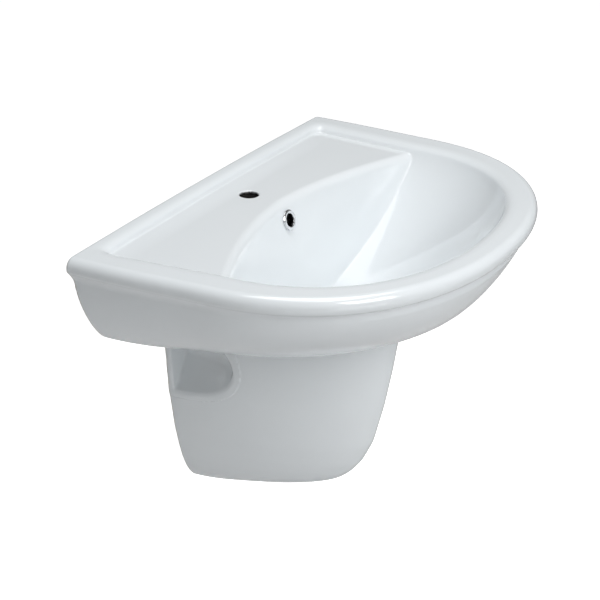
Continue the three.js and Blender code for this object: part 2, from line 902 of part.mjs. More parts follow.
piece("waste_body", makeWasteBody(), "chrome", wasteAxis);
piece(
  "waste_flange_seal",
  sleeve(
    wasteHoleRadius,
    wasteFlangeRadius - gap,
    level(wasteSeatDepth) + gap,
    flangeLow - gap,
  ),
  "rubber",
  wasteAxis,
);

const lowerWasherTop = level(bossDepth) - gap;
const lowerWasherLow = lowerWasherTop - lowerWasherHeight;
const washerTaperShare = 0.5;
piece(
  "waste_lower_washer",
  turned([
    [wasteTubeRadius + gap, lowerWasherLow],
    [lowerWasherRadius, lowerWasherLow],
    [lowerWasherRadius, mix(lowerWasherLow, lowerWasherTop, washerTaperShare)],
    [mix(wasteHoleRadius, lowerWasherRadius, washerTaperShare), lowerWasherTop],
    [wasteTubeRadius + gap, lowerWasherTop],
    [wasteTubeRadius + gap, lowerWasherLow],
  ]),
  "rubber",
  wasteAxis,
);
const backNutTop = lowerWasherLow - gap;
piece(
  "waste_back_nut",
  hexNut(wasteTubeRadius + gap, backNutWall, backNutTop - backNutHeight, backNutTop),
  "brass",
  wasteAxis,
);

// The plug: a click mechanism screwed on the waste's spider, a stem that slides in it, and the cap.
piece(
  "plug_cartridge",
  turned([
    [0, cartridgeLow],
    [cartridgeBore + cartridgeWall, cartridgeLow],
    [cartridgeBore + cartridgeWall, cartridgeHigh],
    [cartridgeBore, cartridgeHigh],
    [cartridgeBore, cartridgeLow + cartridgeFloor],
    [0, cartridgeLow + cartridgeFloor],
  ]),
  "greyPlastic",
  wasteAxis,
);
const plugLow = flangeHigh + gap + plugSealThickness + gap;
const stemHigh = plugLow + stemGrip;
const stemLow = cartridgeLow + cartridgeFloor + stemRoom;
piece(
  "plug_stem",
  turned(
    [
      [0, stemLow],
      [stemRadius, stemLow],
      [stemRadius, stemHigh],
      [0, stemHigh],
    ],
    smallSteps,
  ),
  "brass",
  wasteAxis,
);
// The plug's domed top from its edge to its middle: shares of its radius and of its thickness.
const plugDomeShares = [
  [1, 0],
  [1, 0.35],
  [0.95, 0.66],
  [0.5, 0.92],
  [0, 1],
];
piece(
  "plug_cap",
  turned([
    [0, stemHigh + gap],
    [stemRadius + gap, stemHigh + gap],
    [stemRadius + gap, plugLow],
    ...plugDomeShares.map(([across, rise]) => [plugRadius * across, plugLow + plugThickness * rise]),
  ]),
  "chrome",
  wasteAxis,
);
piece(
  "plug_seal",
  sleeve(
    stemRadius + gap,
    plugSealRadius,
    plugLow - gap - plugSealThickness,
    plugLow - gap,
    roundSteps,
  ),
  "rubber",
  wasteAxis,
);

// Bottle trap, from the waste's tail down
const tailEnd = level(wasteTubeEndDepth);
const inletTop = tailEnd - inletWasherThickness - gap * 2;
piece(
  "trap_inlet_washer",
  sleeve(
    inletTubeRadius,
    inletFlangeRadius,
    inletTop + gap,
    tailEnd - gap,
    roundSteps,
  ),
  "rubber",
  wasteAxis,
);
piece(
  "trap_inlet_tube",
  turned([
    [inletTubeRadius - tubeWall, level(inletTubeEndDepth)],
    [inletTubeRadius, level(inletTubeEndDepth)],
    [inletTubeRadius, inletTop - inletFlangeThickness],
    [inletFlangeRadius, inletTop - inletFlangeThickness],
    [inletFlangeRadius, inletTop],
    [inletTubeRadius - tubeWall, inletTop],
    [inletTubeRadius - tubeWall, level(inletTubeEndDepth)],
  ]),
  "chrome",
  wasteAxis,
);
const couplingTop = level(couplingNutTopDepth);
const couplingLow = couplingTop - couplingNutHeight;
const couplingRadius = wasteTubeRadius + couplingNutWall;
const couplingLip = inletTop - inletFlangeThickness - gap;
piece(
  "trap_coupling_nut",
  ribbedCollar(
    [
      [wasteTubeRadius + gap, couplingTop],
      [wasteTubeRadius + gap, couplingLip],
      [inletTubeRadius + gap, couplingLip],
      [inletTubeRadius + gap, couplingLow],
      [couplingRadius, couplingLow],
      [couplingRadius, couplingTop],
      [wasteTubeRadius + gap, couplingTop],
    ].reverse(),
    couplingRadius,
    couplingLow,
    couplingTop,
  ),
  "chrome",
  wasteAxis,
);

// The body: a neck for the top nut, a drum, and a stub at the back for the outlet.
const bodyTop = level(trapBodyTopDepth);
const bodyLow = bodyTop - trapBodyHeight;
const neckTop = bodyTop + trapNeckHeight;
function makeTrapBody() {
  const drum = turned([
    [trapBodyRadius - trapBodyWall, bodyLow],
    [trapBodyRadius, bodyLow],
    [trapBodyRadius, bodyTop - trapBodyWall],
    [trapBodyRadius - trapBodyWall, bodyTop],
    [trapNeckRadius, bodyTop],
    [trapNeckRadius, neckTop],
    [inletTubeRadius + gap, neckTop],
    [inletTubeRadius + gap, bodyTop - trapBodyWall],
    [trapBodyRadius - trapBodyWall, bodyTop - trapBodyWall * 2],
    [trapBodyRadius - trapBodyWall, bodyLow],
  ]);
  const alongOutlet = (geometry) => geometry.rotateX(-Math.PI / 2).translate(0, 0, level(outletDepth));
  const stub = alongOutlet(rod(outletStubRadius, trapBodyRadius / 2, outletStubFromAxis));
  const core = rod(trapBodyRadius - trapBodyWall, bodyLow - overrun, bodyTop - trapBodyWall * 2);
  const bore = alongOutlet(
    rod(outletTubeRadius + gap, trapBodyRadius / 2, outletStubFromAxis + overrun),
  );
  const tubeRoom = rod(inletTubeRadius + gap, bodyLow - overrun, neckTop + overrun);
  return solid(drum)
    .add(solid(stub).subtract(solid(core)))
    .subtract(solid(bore))
    .subtract(solid(tubeRoom));
}
piece("trap_body", makeTrapBody(), "chrome", wasteAxis);

const topSealLow = neckTop + gap;
const topSealHigh = topSealLow + topSealThickness;
piece(
  "trap_top_seal",
  sleeve(inletTubeRadius + gap, trapNeckRadius, topSealLow, topSealHigh),
  "rubber",
  wasteAxis,
);
const topNutHigh = topSealHigh + gap + nutEndWall;
const topNutLow = Math.max(topNutHigh - topNutHeight, bodyTop + gap);
piece(
  "trap_top_nut",
  ribbedCollar(
    [
      [inletTubeRadius + gap, topNutHigh],
      [inletTubeRadius + gap, topSealHigh + gap],
      [trapNeckRadius + gap, topSealHigh + gap],
      [trapNeckRadius + gap, topNutLow],
      [topNutRadius, topNutLow],
      [topNutRadius, topNutHigh],
      [inletTubeRadius + gap, topNutHigh],
    ].reverse(),
    topNutRadius,
    topNutLow,
    topNutHigh,
  ),
  "chrome",
  wasteAxis,
);

// The cup screws up over the drum's lower end and squeezes its seal against the rim.
const cupSealHigh = bodyLow - gap;
const cupSealLow = cupSealHigh - cupSealThickness;
const cupInner = trapBodyRadius + cupClearance;
const cupOuter = cupInner + cupWall;
const cupShoulder = cupSealLow - gap;
const cupTop = bodyLow + cupSkirtHeight;
const cupLow = cupShoulder - cupHeight;
piece(
  "trap_cup_seal",
  sleeve(trapBodyRadius - trapBodyWall, trapBodyRadius - gap, cupSealLow, cupSealHigh),
  "rubber",
  wasteAxis,
);
// The cup's rounded foot, from its middle to its side: shares of its radius and of its height.
const cupFootShares = [
  [0, 0],
  [0.58, 0],
  [0.86, 0.06],
  [0.97, 0.18],
  [1, 0.4],
];
function makeCup() {
  const shelfRadius = trapBodyRadius - trapBodyWall - gap;
  const insideRadius = shelfRadius - cupWall / 2;
  const foot = (radius, low, high) =>
    cupFootShares.map(([across, rise]) => [radius * across, mix(low, high, rise)]);
  const shell = turned([
    ...foot(cupOuter, cupLow, cupShoulder),
    [cupOuter, cupTop],
    [cupInner, cupTop],
    [cupInner, cupShoulder],
    [shelfRadius, cupShoulder],
    ...foot(insideRadius, cupLow + cupWall, cupShoulder).reverse(),
  ]);
  const grip = rod(cupGripRadius, cupLow - cupGripHeight, cupLow + cupWall / 2, nutSides);
  return solid(shell).add(solid(grip));
}
piece("trap_cup", makeCup(), "chrome", wasteAxis);

// Outlet to the wall, laid along Y from its own foot on the wall face
const outletAxis = new THREE.Group();
outletAxis.position.set(0, 0, level(outletDepth));
outletAxis.rotation.x = Math.PI / 2;
sink.add(outletAxis);
const stubEnd = wasteFromWall - outletStubFromAxis; // the stub's end, measured from the wall
piece(
  "trap_outlet_pipe",
  sleeve(outletTubeRadius - tubeWall, outletTubeRadius, 0, stubEnd + outletPipeInsert),
  "chrome",
  outletAxis,
);
const outletSealHigh = stubEnd - gap;
const outletSealLow = outletSealHigh - outletSealThickness;
piece(
  "trap_outlet_seal",
  sleeve(outletTubeRadius + gap, outletStubRadius, outletSealLow, outletSealHigh),
  "rubber",
  outletAxis,
);
const outletNutLow = outletSealLow - gap - nutEndWall;
const outletNutHigh = outletNutLow + outletNutLength;
piece(
  "trap_outlet_nut",
  ribbedCollar(
    [
      [outletTubeRadius + gap, outletNutLow],
      [outletNutRadius, outletNutLow],
      [outletNutRadius, outletNutHigh],
      [outletStubRadius + gap, outletNutHigh],
      [outletStubRadius + gap, outletSealLow - gap],
      [outletTubeRadius + gap, outletSealLow - gap],
      [outletTubeRadius + gap, outletNutLow],
    ],
    outletNutRadius,
    outletNutLow,
    outletNutHigh,
  ),
  "chrome",
  outletAxis,
);
// The rosette's rounded front from its edge to the pipe: shares of its width and of its thickness.
const rosetteShares = [
  [1, 0],
  [1, 0.15],
  [0.8, 0.55],
  [0.45, 0.9],
  [0, 1],
];
piece(
  "wall_rosette",
  turned([
    [outletTubeRadius + gap, 0],
    ...rosetteShares.map(([across, rise]) => [
      mix(outletTubeRadius + gap, rosetteRadius, across),
      rosetteThickness * rise,
    ]),
    [outletTubeRadius + gap, 0],
  ]),
  "chrome",
  outletAxis,
);

// The screw's head and its cap, from the edge to the middle: shares of the radius and of the height.
const screwHeadShares = [
  [1, 0],
  [1, 0.4],
  [0.7, 1],
  [0, 1],
];
const capDomeShares = [
  [1, 0],
  [0.97, 0.6],
  [0.72, 0.92],
  [0, 1],
];

// Fixings on both sides, each laid along Y from its foot on the wall face
for (const [word, side] of [["left", -1], ["right", 1]]) {
  const basinFixing = new THREE.Group();
  basinFixing.position.set((side * fixingSpacing) / 2, 0, 0);
  basinFixing.rotation.x = Math.PI / 2;
  sink.add(basinFixing);
  const flangeFoot = backWall + gap;
  const washerFoot = flangeFoot + sleeveFlangeThickness + gap;
  const nutFoot = washerFoot + washerThickness + gap;
  const studEnd = nutFoot + nutHeight + studBeyondNut;
  piece("basin_stud_" + word, rod(studRadius, 0, studEnd, smallSteps), "steel", basinFixing);
  piece(
    "stud_sleeve_" + word,
    turned(
      [
        [studRadius + gap, gap],
        [sleeveRadius, gap],
        [sleeveRadius, flangeFoot],
        [sleeveFlangeRadius, flangeFoot],
        [sleeveFlangeRadius, flangeFoot + sleeveFlangeThickness],
        [studRadius + gap, flangeFoot + sleeveFlangeThickness],
        [studRadius + gap, gap],
      ],
      smallSteps,
    ),
    "greyPlastic",
    basinFixing,
  );
  piece(
    "stud_washer_" + word,
    sleeve(studRadius + gap, washerRadius, washerFoot, washerFoot + washerThickness, smallSteps),
    "steel",
    basinFixing,
  );
  piece(
    "stud_nut_" + word,
    hexNut(studRadius + gap, nutWall, nutFoot, nutFoot + nutHeight),
    "steel",
    basinFixing,
  );

  const pedestalFixing = new THREE.Group();
  pedestalFixing.position.set(side * pedestalScrewFromMiddle, 0, level(pedestalScrewDepth));
  pedestalFixing.rotation.x = Math.PI / 2;
  sink.add(pedestalFixing);
  const bushFoot = nicheEarThickness + gap;
  const headFoot = bushFoot + bushThickness + gap;
  const capDome = (radius, top) =>
    capDomeShares.map(([across, rise]) => [radius * across, mix(headFoot, top, rise)]);
  piece(
    "pedestal_screw_" + word,
    turned(
      [
        [0, 0],
        [screwRadius, 0],
        [screwRadius, headFoot],
        ...screwHeadShares.map(([across, rise]) => [
          screwHeadRadius * across,
          headFoot + screwHeadHeight * rise,
        ]),
      ],
      smallSteps,
    ),
    "steel",
    pedestalFixing,
  );
  piece(
    "screw_bush_" + word,
    sleeve(screwRadius + gap, bushRadius, bushFoot, bushFoot + bushThickness, smallSteps),
    "whitePlastic",
    pedestalFixing,
  );
  piece(
    "screw_cap_" + word,
    turned(
      [
        [capRadius - capWall, headFoot],
        ...capDome(capRadius, headFoot + capHeight),
        ...capDome(capRadius - capWall, headFoot + capHeight - capWall).reverse(),
        [capRadius - capWall, headFoot],
      ],
      smallSteps,
    ),
    "whitePlastic",
    pedestalFixing,
  );
}

export default sink;
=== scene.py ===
# %% [markdown]
# # A wall-hung washbasin on its semi-pedestal
# The object is a white china washbasin that hangs on two wall bolts. A short china shroud, the
# semi-pedestal, hides the waste and the bottle trap. Everything here is built in metres in the frame of the
# CAD model, so each piece sits where its plain counterpart sits.

# %% Load the frame
import json
import math

import bmesh
import bpy
import numpy as np
from mathutils import Matrix, Vector


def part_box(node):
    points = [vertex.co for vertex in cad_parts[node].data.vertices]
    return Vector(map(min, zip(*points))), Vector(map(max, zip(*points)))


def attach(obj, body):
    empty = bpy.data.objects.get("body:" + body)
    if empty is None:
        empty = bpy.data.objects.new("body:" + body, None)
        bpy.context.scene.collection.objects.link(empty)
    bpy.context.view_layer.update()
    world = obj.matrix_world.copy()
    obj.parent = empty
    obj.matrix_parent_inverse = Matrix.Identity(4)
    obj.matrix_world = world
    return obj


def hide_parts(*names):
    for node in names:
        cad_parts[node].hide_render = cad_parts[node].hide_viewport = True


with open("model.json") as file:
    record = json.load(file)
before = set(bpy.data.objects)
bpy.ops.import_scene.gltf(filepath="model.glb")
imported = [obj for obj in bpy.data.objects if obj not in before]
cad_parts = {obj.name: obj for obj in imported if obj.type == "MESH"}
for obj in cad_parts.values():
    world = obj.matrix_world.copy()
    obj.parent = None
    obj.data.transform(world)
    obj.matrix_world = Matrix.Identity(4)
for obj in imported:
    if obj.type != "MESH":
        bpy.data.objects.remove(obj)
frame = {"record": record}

for name in ("Cube", "Light", "Camera"):
    if name in bpy.data.objects:
        bpy.data.objects.remove(bpy.data.objects[name])
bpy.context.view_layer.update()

# %% [markdown]
# ## Shapes as distances
# Slip-cast china has no straight edges: the clay slumps a little and the glaze rounds every corner. So both
# castings are described by fields, which are negative inside the china and grow like a distance outside it.
# Two fields are joined or cut with a rounded corner, and a net is then pulled over the zero surface.
# Lengths in these cells are millimetres, and depth is measured down from the top of the rim.

# %% Helpers for the fields
RIM_HEIGHT = 65.0


def mix(low, high, share):
    return low + (high - low) * share


def round_max(a, b, radius):
    """The cut of two fields, with its corner rounded."""
    corner = np.hypot(np.maximum(a + radius, 0), np.maximum(b + radius, 0))
    return np.minimum(-radius, np.maximum(a, b)) + corner


def round_min(a, b, radius):
    """The union of two fields, with its inner corner filled."""
    return -round_max(-a, -b, radius)


def smooth_step(value, low, high):
    share = np.clip((value - low) / (high - low), 0, 1)
    return share * share * (3 - 2 * share)


def soft_table(knots, sigma, step=0.5):
    """A broken line through the knots, evened out by a bell curve. Returns a function of the place."""
    knots = np.array(knots, float)
    places = np.arange(knots[0, 0] - 6 * sigma, knots[-1, 0] + 6 * sigma, step)
    reach = int(4 * sigma / step)
    bell = np.exp(-0.5 * (np.arange(-reach, reach + 1) * step / sigma) ** 2)
    bell /= bell.sum()
    columns = []
    for column in knots.T[1:]:
        line = np.interp(places, knots[:, 0], column)
        padded = np.concatenate([np.full(reach, line[0]), line, np.full(reach, line[-1])])
        columns.append(np.convolve(padded, bell, "valid"))
    return lambda value: [np.interp(value, places, column) for column in columns]


FILL_SPAN = 60.0


def waist_fill(y, at_wall, at_waist, waist):
    """What smooths the bend where the straight side meets the curved front."""
    nearness = np.maximum(1 - np.abs(-y - waist) / FILL_SPAN, 0)
    return FILL_SPAN / 2 * (at_wall - at_waist) / waist * nearness**2


def plan_distance(x, y, at_wall, at_waist, waist, power, reach):
    """The distance in plan to an outline with straight sides at the wall and a superellipse in front."""
    across = np.abs(x)
    along = np.clip(-y / waist, 0, 1)
    rear = across - mix(at_wall, at_waist, along * along)
    u = np.maximum(across / at_waist, 1e-4)
    v = np.maximum((-y - waist) / reach, 1e-4)
    total = np.maximum(u**power + v**power, 1e-9)
    gauge = total ** (1 / power)
    slope = np.hypot(u ** (power - 1) / at_waist, v ** (power - 1) / reach) * gauge ** (1 - power)
    front = (gauge - 1) / np.maximum(slope, 1e-5)
    return np.where(-y > waist, front, rear) - waist_fill(y, at_wall, at_waist, waist)


def gauge_from(x, y, centre_y, ring_angles, ring_radii):
    """How far a point lies from a centre, as a share of a ring's radius in the same direction."""
    angle = np.arctan2(np.abs(x), -(y - centre_y))
    return np.hypot(x, y - centre_y) / np.interp(angle, ring_angles, ring_radii)


print("the side is smoothed into the front over", FILL_SPAN, "mm each way")

# %% [markdown]
# ## The basin's outside
# The rim ends in a rolled bead. Below it a narrow neck leads into the apron, which sweeps in towards the heel
# with growing curvature, as a casting that must leave its plaster mould does. The sides run almost straight
# from the wall and turn into a blunt superellipse at the front.

# %% Outside: bead, apron and belly
WASTE_Y = -206.0
HEEL_DEPTH = 139.0
BELLY_DEPTH = 168.0
BEAD = 12.0
BASIN_REACH = 451.5
RIM_HALF = 315.0
RIM_HALF_AT_WAIST = 305.6
RIM_WAIST = 189.0
RIM_POWER = 2.16
HEEL_HALF_AT_WALL = 235.0
HEEL_HALF = 182.7
HEEL_REACH = 188.3
HEEL_WAIST = 156.0
HEEL_POWER = 1.68

# Each knot: depth, inset of the side, inset of the front, and the share of the turn to the heel.
apron_knots = [
    (0, 2.17, 2.17, 0), (18.88, 2.17, 2.17, 0), (24, 6.4, 9.8, 0), (28, 9.6, 12.6, 0), (33, 13, 13.6, 0),
]
apron_shares = np.array([
    (0, 0, 0), (0.165, 0.058, 0.061), (0.354, 0.163, 0.206), (0.553, 0.315, 0.381), (0.718, 0.48, 0.528),
    (0.825, 0.61, 0.65), (0.913, 0.75, 0.8), (0.971, 0.855, 0.915), (1, 1, 1),
])
bends = np.arcsin(apron_shares[:, 0])
side_curve, front_curve = (np.polyfit(bends, apron_shares[:, k], 4) for k in (1, 2))
for bend in np.linspace(0.02, math.pi / 2, 60):
    drop = math.sin(bend)
    side = max(np.polyval(side_curve, bend), 0)
    front = max(np.polyval(front_curve, bend), 0)
    apron_knots.append((mix(36, HEEL_DEPTH, drop), mix(14.7, 80, side), mix(13.6, 107.2, front), drop))
apron_table = soft_table(apron_knots, 1.4)


def apron_plan(x, y, depth):
    side, front, turn = apron_table(depth)
    at_wall = RIM_HALF - side
    at_waist = at_wall - 9.4 - np.maximum(0, side - 13) * 0.64 * turn
    waist = mix(RIM_WAIST, HEEL_WAIST, turn)
    power = mix(RIM_POWER, HEEL_POWER, turn)
    return plan_distance(x, y, at_wall, at_waist, waist, power, BASIN_REACH - front - waist), side, front


def heel_ring():
    fill = (HEEL_HALF_AT_WALL, HEEL_HALF, HEEL_WAIST)
    side_y = np.linspace(1, -HEEL_WAIST, 40)
    share = np.clip(-side_y / HEEL_WAIST, 0, 1)
    side_x = mix(HEEL_HALF_AT_WALL, HEEL_HALF, share * share) + waist_fill(side_y, *fill)
    angles = np.linspace(0, math.pi / 2, 120)
    front_x = HEEL_HALF * np.cos(angles) ** (2 / HEEL_POWER)
    front_y = -HEEL_WAIST - HEEL_REACH * np.sin(angles) ** (2 / HEEL_POWER)
    front_x = front_x + waist_fill(front_y, *fill) * (front_x > 1)
    back_x = np.linspace(0, HEEL_HALF_AT_WALL, 60)
    x = np.concatenate([back_x, side_x, front_x])
    y = np.concatenate([np.full(60, 1.0), side_y, front_y])
    angle = np.arctan2(x, -(y - WASTE_Y))
    order = np.argsort(angle)
    return angle[order], np.hypot(x, y - WASTE_Y)[order]


heel_angles, heel_radii = heel_ring()


def crown(x, y):
    """The upstand along the wall rises a little towards its middle."""
    return 3.4 * (1 - (np.minimum(np.abs(x), 303) / 303) ** 2) * (1 - smooth_step(-y, 24, 60))


def hull(x, y, depth):
    rim = plan_distance(x, y, RIM_HALF, RIM_HALF_AT_WAIST, RIM_WAIST, RIM_POWER, BASIN_REACH - RIM_WAIST)
    lifted = depth + crown(x, y)
    bead = np.hypot(np.maximum(rim + BEAD, 0), lifted - BEAD) - BEAD
    plan, side, front = apron_plan(x, y, depth)
    later = apron_table(depth + 1)
    lean = np.hypot(1, mix(later[0] - side, later[1] - front, smooth_step(-y, 150, 228)))
    apron = np.maximum(plan / lean, BEAD - depth)
    gauge = gauge_from(x, y, WASTE_Y, heel_angles, heel_radii)
    sag = (BELLY_DEPTH - HEEL_DEPTH) * np.maximum(1 - gauge, 0) ** 1.3 - 10 * np.maximum(gauge - 1, 0)
    belly = (depth - HEEL_DEPTH - sag) / 1.03
    below = round_max(apron, belly, 3)
    return round_min(bead, below, 1.2)


print("heel ring", len(heel_radii), "points, radii", heel_radii.min().round(1), heel_radii.max().round(1))

# %% [markdown]
# ## The basin's inside
# From above the basin is a height map. A shallow pan with a rolled edge forms the rim and the deck. In front
# of a curved line the deck drops down the steep back of the bowl, and that back meets the round bowl in a
# crease which catches the light.

# %% Inside: pan, bowl and waste seat
PAN_CENTRE_Y = -189.0
PAN_HALF = 257.6
PAN_HALF_AT_WALL = 272.0
PAN_REAR = 165.0
PAN_FRONT = 221.5
PAN_CORNER_POWER = 36.0
PAN_POWER = 2.25


def pan_distance(x, y):
    across = np.abs(x)
    ahead = -(y - PAN_CENTRE_Y)
    rear_share = np.clip(-ahead / PAN_REAR, 0, 1)
    half = mix(PAN_HALF, PAN_HALF_AT_WALL, rear_share)
    power = np.where(ahead > 0, PAN_POWER, PAN_CORNER_POWER)
    reach = np.where(ahead > 0, PAN_FRONT, PAN_REAR)
    u = np.clip(across / half, 1e-3, 1.6)
    v = np.clip(np.abs(ahead) / reach, 1e-3, 1.6)
    gauge = (u**power + v**power) ** (1 / power)
    slope = np.hypot(u ** (power - 1) / half, v ** (power - 1) / reach) * gauge ** (1 - power)
    return (gauge - 1) / slope


def pan_ring():
    angles = np.linspace(-math.pi / 2, math.pi / 2, 1441)
    rear = np.sin(angles) > 0
    power = np.where(rear, PAN_CORNER_POWER, PAN_POWER)
    gauge = (np.cos(angles) ** power + np.abs(np.sin(angles)) ** power) ** (1 / power)
    along = np.sin(angles) / gauge
    half = np.where(rear, mix(PAN_HALF, PAN_HALF_AT_WALL, np.clip(along, 0, 1)), PAN_HALF)
    x = half * np.cos(angles) / gauge
    y = PAN_CENTRE_Y + along * np.where(rear, PAN_REAR, PAN_FRONT)
    angle = np.arctan2(x, -(y - WASTE_Y))
    order = np.argsort(angle)
    return angle[order], np.hypot(x, y - WASTE_Y)[order]


pan_angles, pan_radii = pan_ring()
pan_edge = soft_table(
    [
        (-24, 1), (-12.6, 0.995), (-7.7, 0.94), (-4.2, 0.72), (0, 0.35),
        (4.2, 0.13), (8.5, 0.04), (14, 0), (24, -0.03),
    ],
    1.2,
    0.25,
)


def bowl_back_depth(x, y):
    """The deck's flat, its rolled front edge, and the steep back of the bowl."""
    ahead = -y - (112.5 + 64.5 * (np.abs(x) / 245) ** 1.75)
    lip = 25 - np.sqrt(np.maximum(225 - np.clip(ahead, 0, 14.4) ** 2, 0))
    return np.where(ahead > 14.4, 20.9 + (ahead - 14.4) * 3.487, lip)


def top_depth(x, y):
    pan = 10 * pan_edge(pan_distance(x, y))[0]
    gauge = np.minimum(gauge_from(x, y, WASTE_Y, pan_angles, pan_radii), 1)
    bowl = 155 * (1 - gauge**1.6) ** 0.76
    inner = round_min(bowl, bowl_back_depth(x, y), mix(2.2, 7.0, smooth_step(np.abs(x), 200, 250)))
    depth = np.maximum(pan, inner) - crown(x, y)
    seat = np.hypot(x, y - WASTE_Y) - 33.5
    return np.where(seat < 0, np.maximum(depth, 153.5), depth)


def blur(grid, sigma):
    reach = int(4 * sigma) + 1
    bell = np.exp(-0.5 * (np.arange(-reach, reach + 1) / sigma) ** 2)
    bell /= bell.sum()
    for axis in (0, 1):
        pad = [(reach, reach) if k == axis else (0, 0) for k in (0, 1)]
        wide = np.pad(grid, pad, mode="edge")
        grid = np.apply_along_axis(lambda line: np.convolve(line, bell, "valid"), axis, wide)
    return grid


map_x = np.arange(-4.0, 320.0, 1.0)
map_y = np.arange(-456.0, 6.0, 1.0)
height_map = blur(top_depth(*np.meshgrid(map_x, map_y, indexing="ij")), 0.8)
slope_x, slope_y = np.gradient(height_map, 1.0)
lean_map = np.sqrt(1 + slope_x**2 + slope_y**2)


def look_up(grid, x, y):
    """A value between the points of a map, by straight mixing."""
    i = np.clip(np.abs(x) - map_x[0], 0, len(map_x) - 1.001)
    j = np.clip(y - map_y[0], 0, len(map_y) - 1.001)
    low_i = i.astype(int)
    low_j = j.astype(int)
    i = i - low_i
    j = j - low_j
    near = grid[low_i, low_j] * (1 - i) + grid[low_i + 1, low_j] * i
    far = grid[low_i, low_j + 1] * (1 - i) + grid[low_i + 1, low_j + 1] * i
    return near * (1 - j) + far * j


print("deepest point of the bowl", height_map.max().round(1), "mm")

# %% [markdown]
# ## The whole basin as one field
# The casting is hollow behind the bowl so that the bolts can be reached. A boss carries the waste, and a
# narrow waterway leads from the overflow down the back of the bowl to the waste hole. The edges are rounded,
# by half a millimetre at the small cuts and by six and a half along the top of the back.

# %% Basin field
OVERFLOW_DEPTH = 35.3
BACK_ANGLE = math.radians(74)
LIP_DROP = 15 * (1 - math.cos(BACK_ANGLE))
OVERFLOW_Y = -(112.5 + 15 * math.sin(BACK_ANGLE) + (OVERFLOW_DEPTH - 10 - LIP_DROP) / math.tan(BACK_ANGLE))
OVERFLOW_AXIS = np.array([0, -math.sin(BACK_ANGLE), math.cos(BACK_ANGLE)])


def box_field(x, y, depth, half_x, low_y, high_y, low_depth, high_depth):
    across, along = np.abs(x) - half_x, np.maximum(low_y - y, y - high_y)
    return np.maximum.reduce([across, along, low_depth - depth, depth - high_depth])


def back_line(depth):
    """Where the bowl's back stands at a depth, in the middle."""
    drop = np.maximum(0, depth - 10 - 15 * (1 - math.cos(BACK_ANGLE)))
    lip = np.sqrt(np.maximum(225 - (15 - np.clip(depth - 10, 0, 10.87)) ** 2, 0))
    return -(112.5 + lip + drop / math.tan(BACK_ANGLE))


def channel_field(x, y, depth, grow):
    back = back_line(depth)
    across = np.abs(x) - 11 - grow
    below = depth - 183 - grow
    down = np.maximum.reduce([across, back + 8 - grow - y, y - back - 18 - grow, 25 - grow - depth, below])
    behind = y - back_line(171.0) - 18 - grow
    along = np.maximum.reduce([across, WASTE_Y - y, behind, 171 - grow - depth, below])
    return np.minimum(down, along)


def overflow_hole(x, y, depth, radius):
    rise = RIM_HEIGHT - depth - (RIM_HEIGHT - OVERFLOW_DEPTH)
    across_y = y - OVERFLOW_Y
    out = across_y * OVERFLOW_AXIS[1] + rise * OVERFLOW_AXIS[2]
    off = np.sqrt(np.maximum(x**2 + across_y**2 + rise**2 - out**2, 0))
    return np.maximum.reduce([off - radius, -13 - out, out - 8])


def basin_field(x, y, z):
    depth = RIM_HEIGHT - z
    outside = hull(x, y, depth)
    top = (look_up(height_map, x, y) - depth) / look_up(lean_map, x, y)
    shell = round_max(np.maximum(outside, top), y, mix(6.5, 2.0, smooth_step(depth, 4, 22)))
    room = box_field(x, y, depth, 185, -104, -14, 117, 230)
    hollow = np.maximum(np.minimum(np.maximum(outside + 11, y + 14), room), top + 11)
    china = round_max(shell, -hollow, 2.5)
    from_waste = np.hypot(x, y - WASTE_Y)
    boss = np.maximum.reduce([round_max(from_waste - 39, depth - 205, 2), 150 - depth, top + 4])
    rib = np.maximum(channel_field(x, y, depth, 7.7), top + 4)
    china = round_min(china, np.minimum(boss, rib), 2)
    cuts = [
        channel_field(x, y, depth, 0),
        box_field(x, y, depth, 95, -16, 40, 88, 230),
        from_waste - 23,
        np.maximum(np.hypot(x, y + 70) - 12.8, depth - 40),
        overflow_hole(x, y, depth, 11.5),
        np.maximum(np.hypot(np.abs(x) - 140, z) - 9, -20 - y),
    ]
    for cut, radius in zip(cuts, (0.5, 2, 1, 2.6, 0.6, 0.8)):
        china = round_max(china, -cut, radius)
    return china


print("overflow at y", round(OVERFLOW_Y, 1), "mm and depth", OVERFLOW_DEPTH)

# %% [markdown]
# ## A net over the zero surface
# A grid is laid through the field. Each cell that the surface crosses gets one point, and four cells round
# each crossed grid line get one face. A few steps along the slope then bring each point onto the surface,
# and the slope itself gives the shading normal, so the glaze reflects without facets.

# %% Surface net
CORNERS = [(i, j, k) for i in (0, 1) for j in (0, 1) for k in (0, 1)]
EDGES = [
    (a, b) for a in CORNERS for b in CORNERS
    if sum(b) - sum(a) == 1 and sum(abs(p - q) for p, q in zip(a, b)) == 1
]


def sample_half(field, low, high, cell):
    """The field on a grid, worked out for one half and mirrored to the other."""
    xs = np.arange(0, high[0] + cell, cell)
    ys = np.arange(low[1], high[1] + cell, cell)
    zs = np.arange(low[2], high[2] + cell, cell)
    values = np.empty((len(xs), len(ys), len(zs)), np.float32)
    for start in range(0, len(xs), 16):
        slab = xs[start:start + 16]
        values[start:start + 16] = field(*np.meshgrid(slab, ys, zs, indexing="ij"))
    whole = np.concatenate([values[:0:-1], values])
    return whole, np.array([-xs[-1], ys[0], zs[0]])


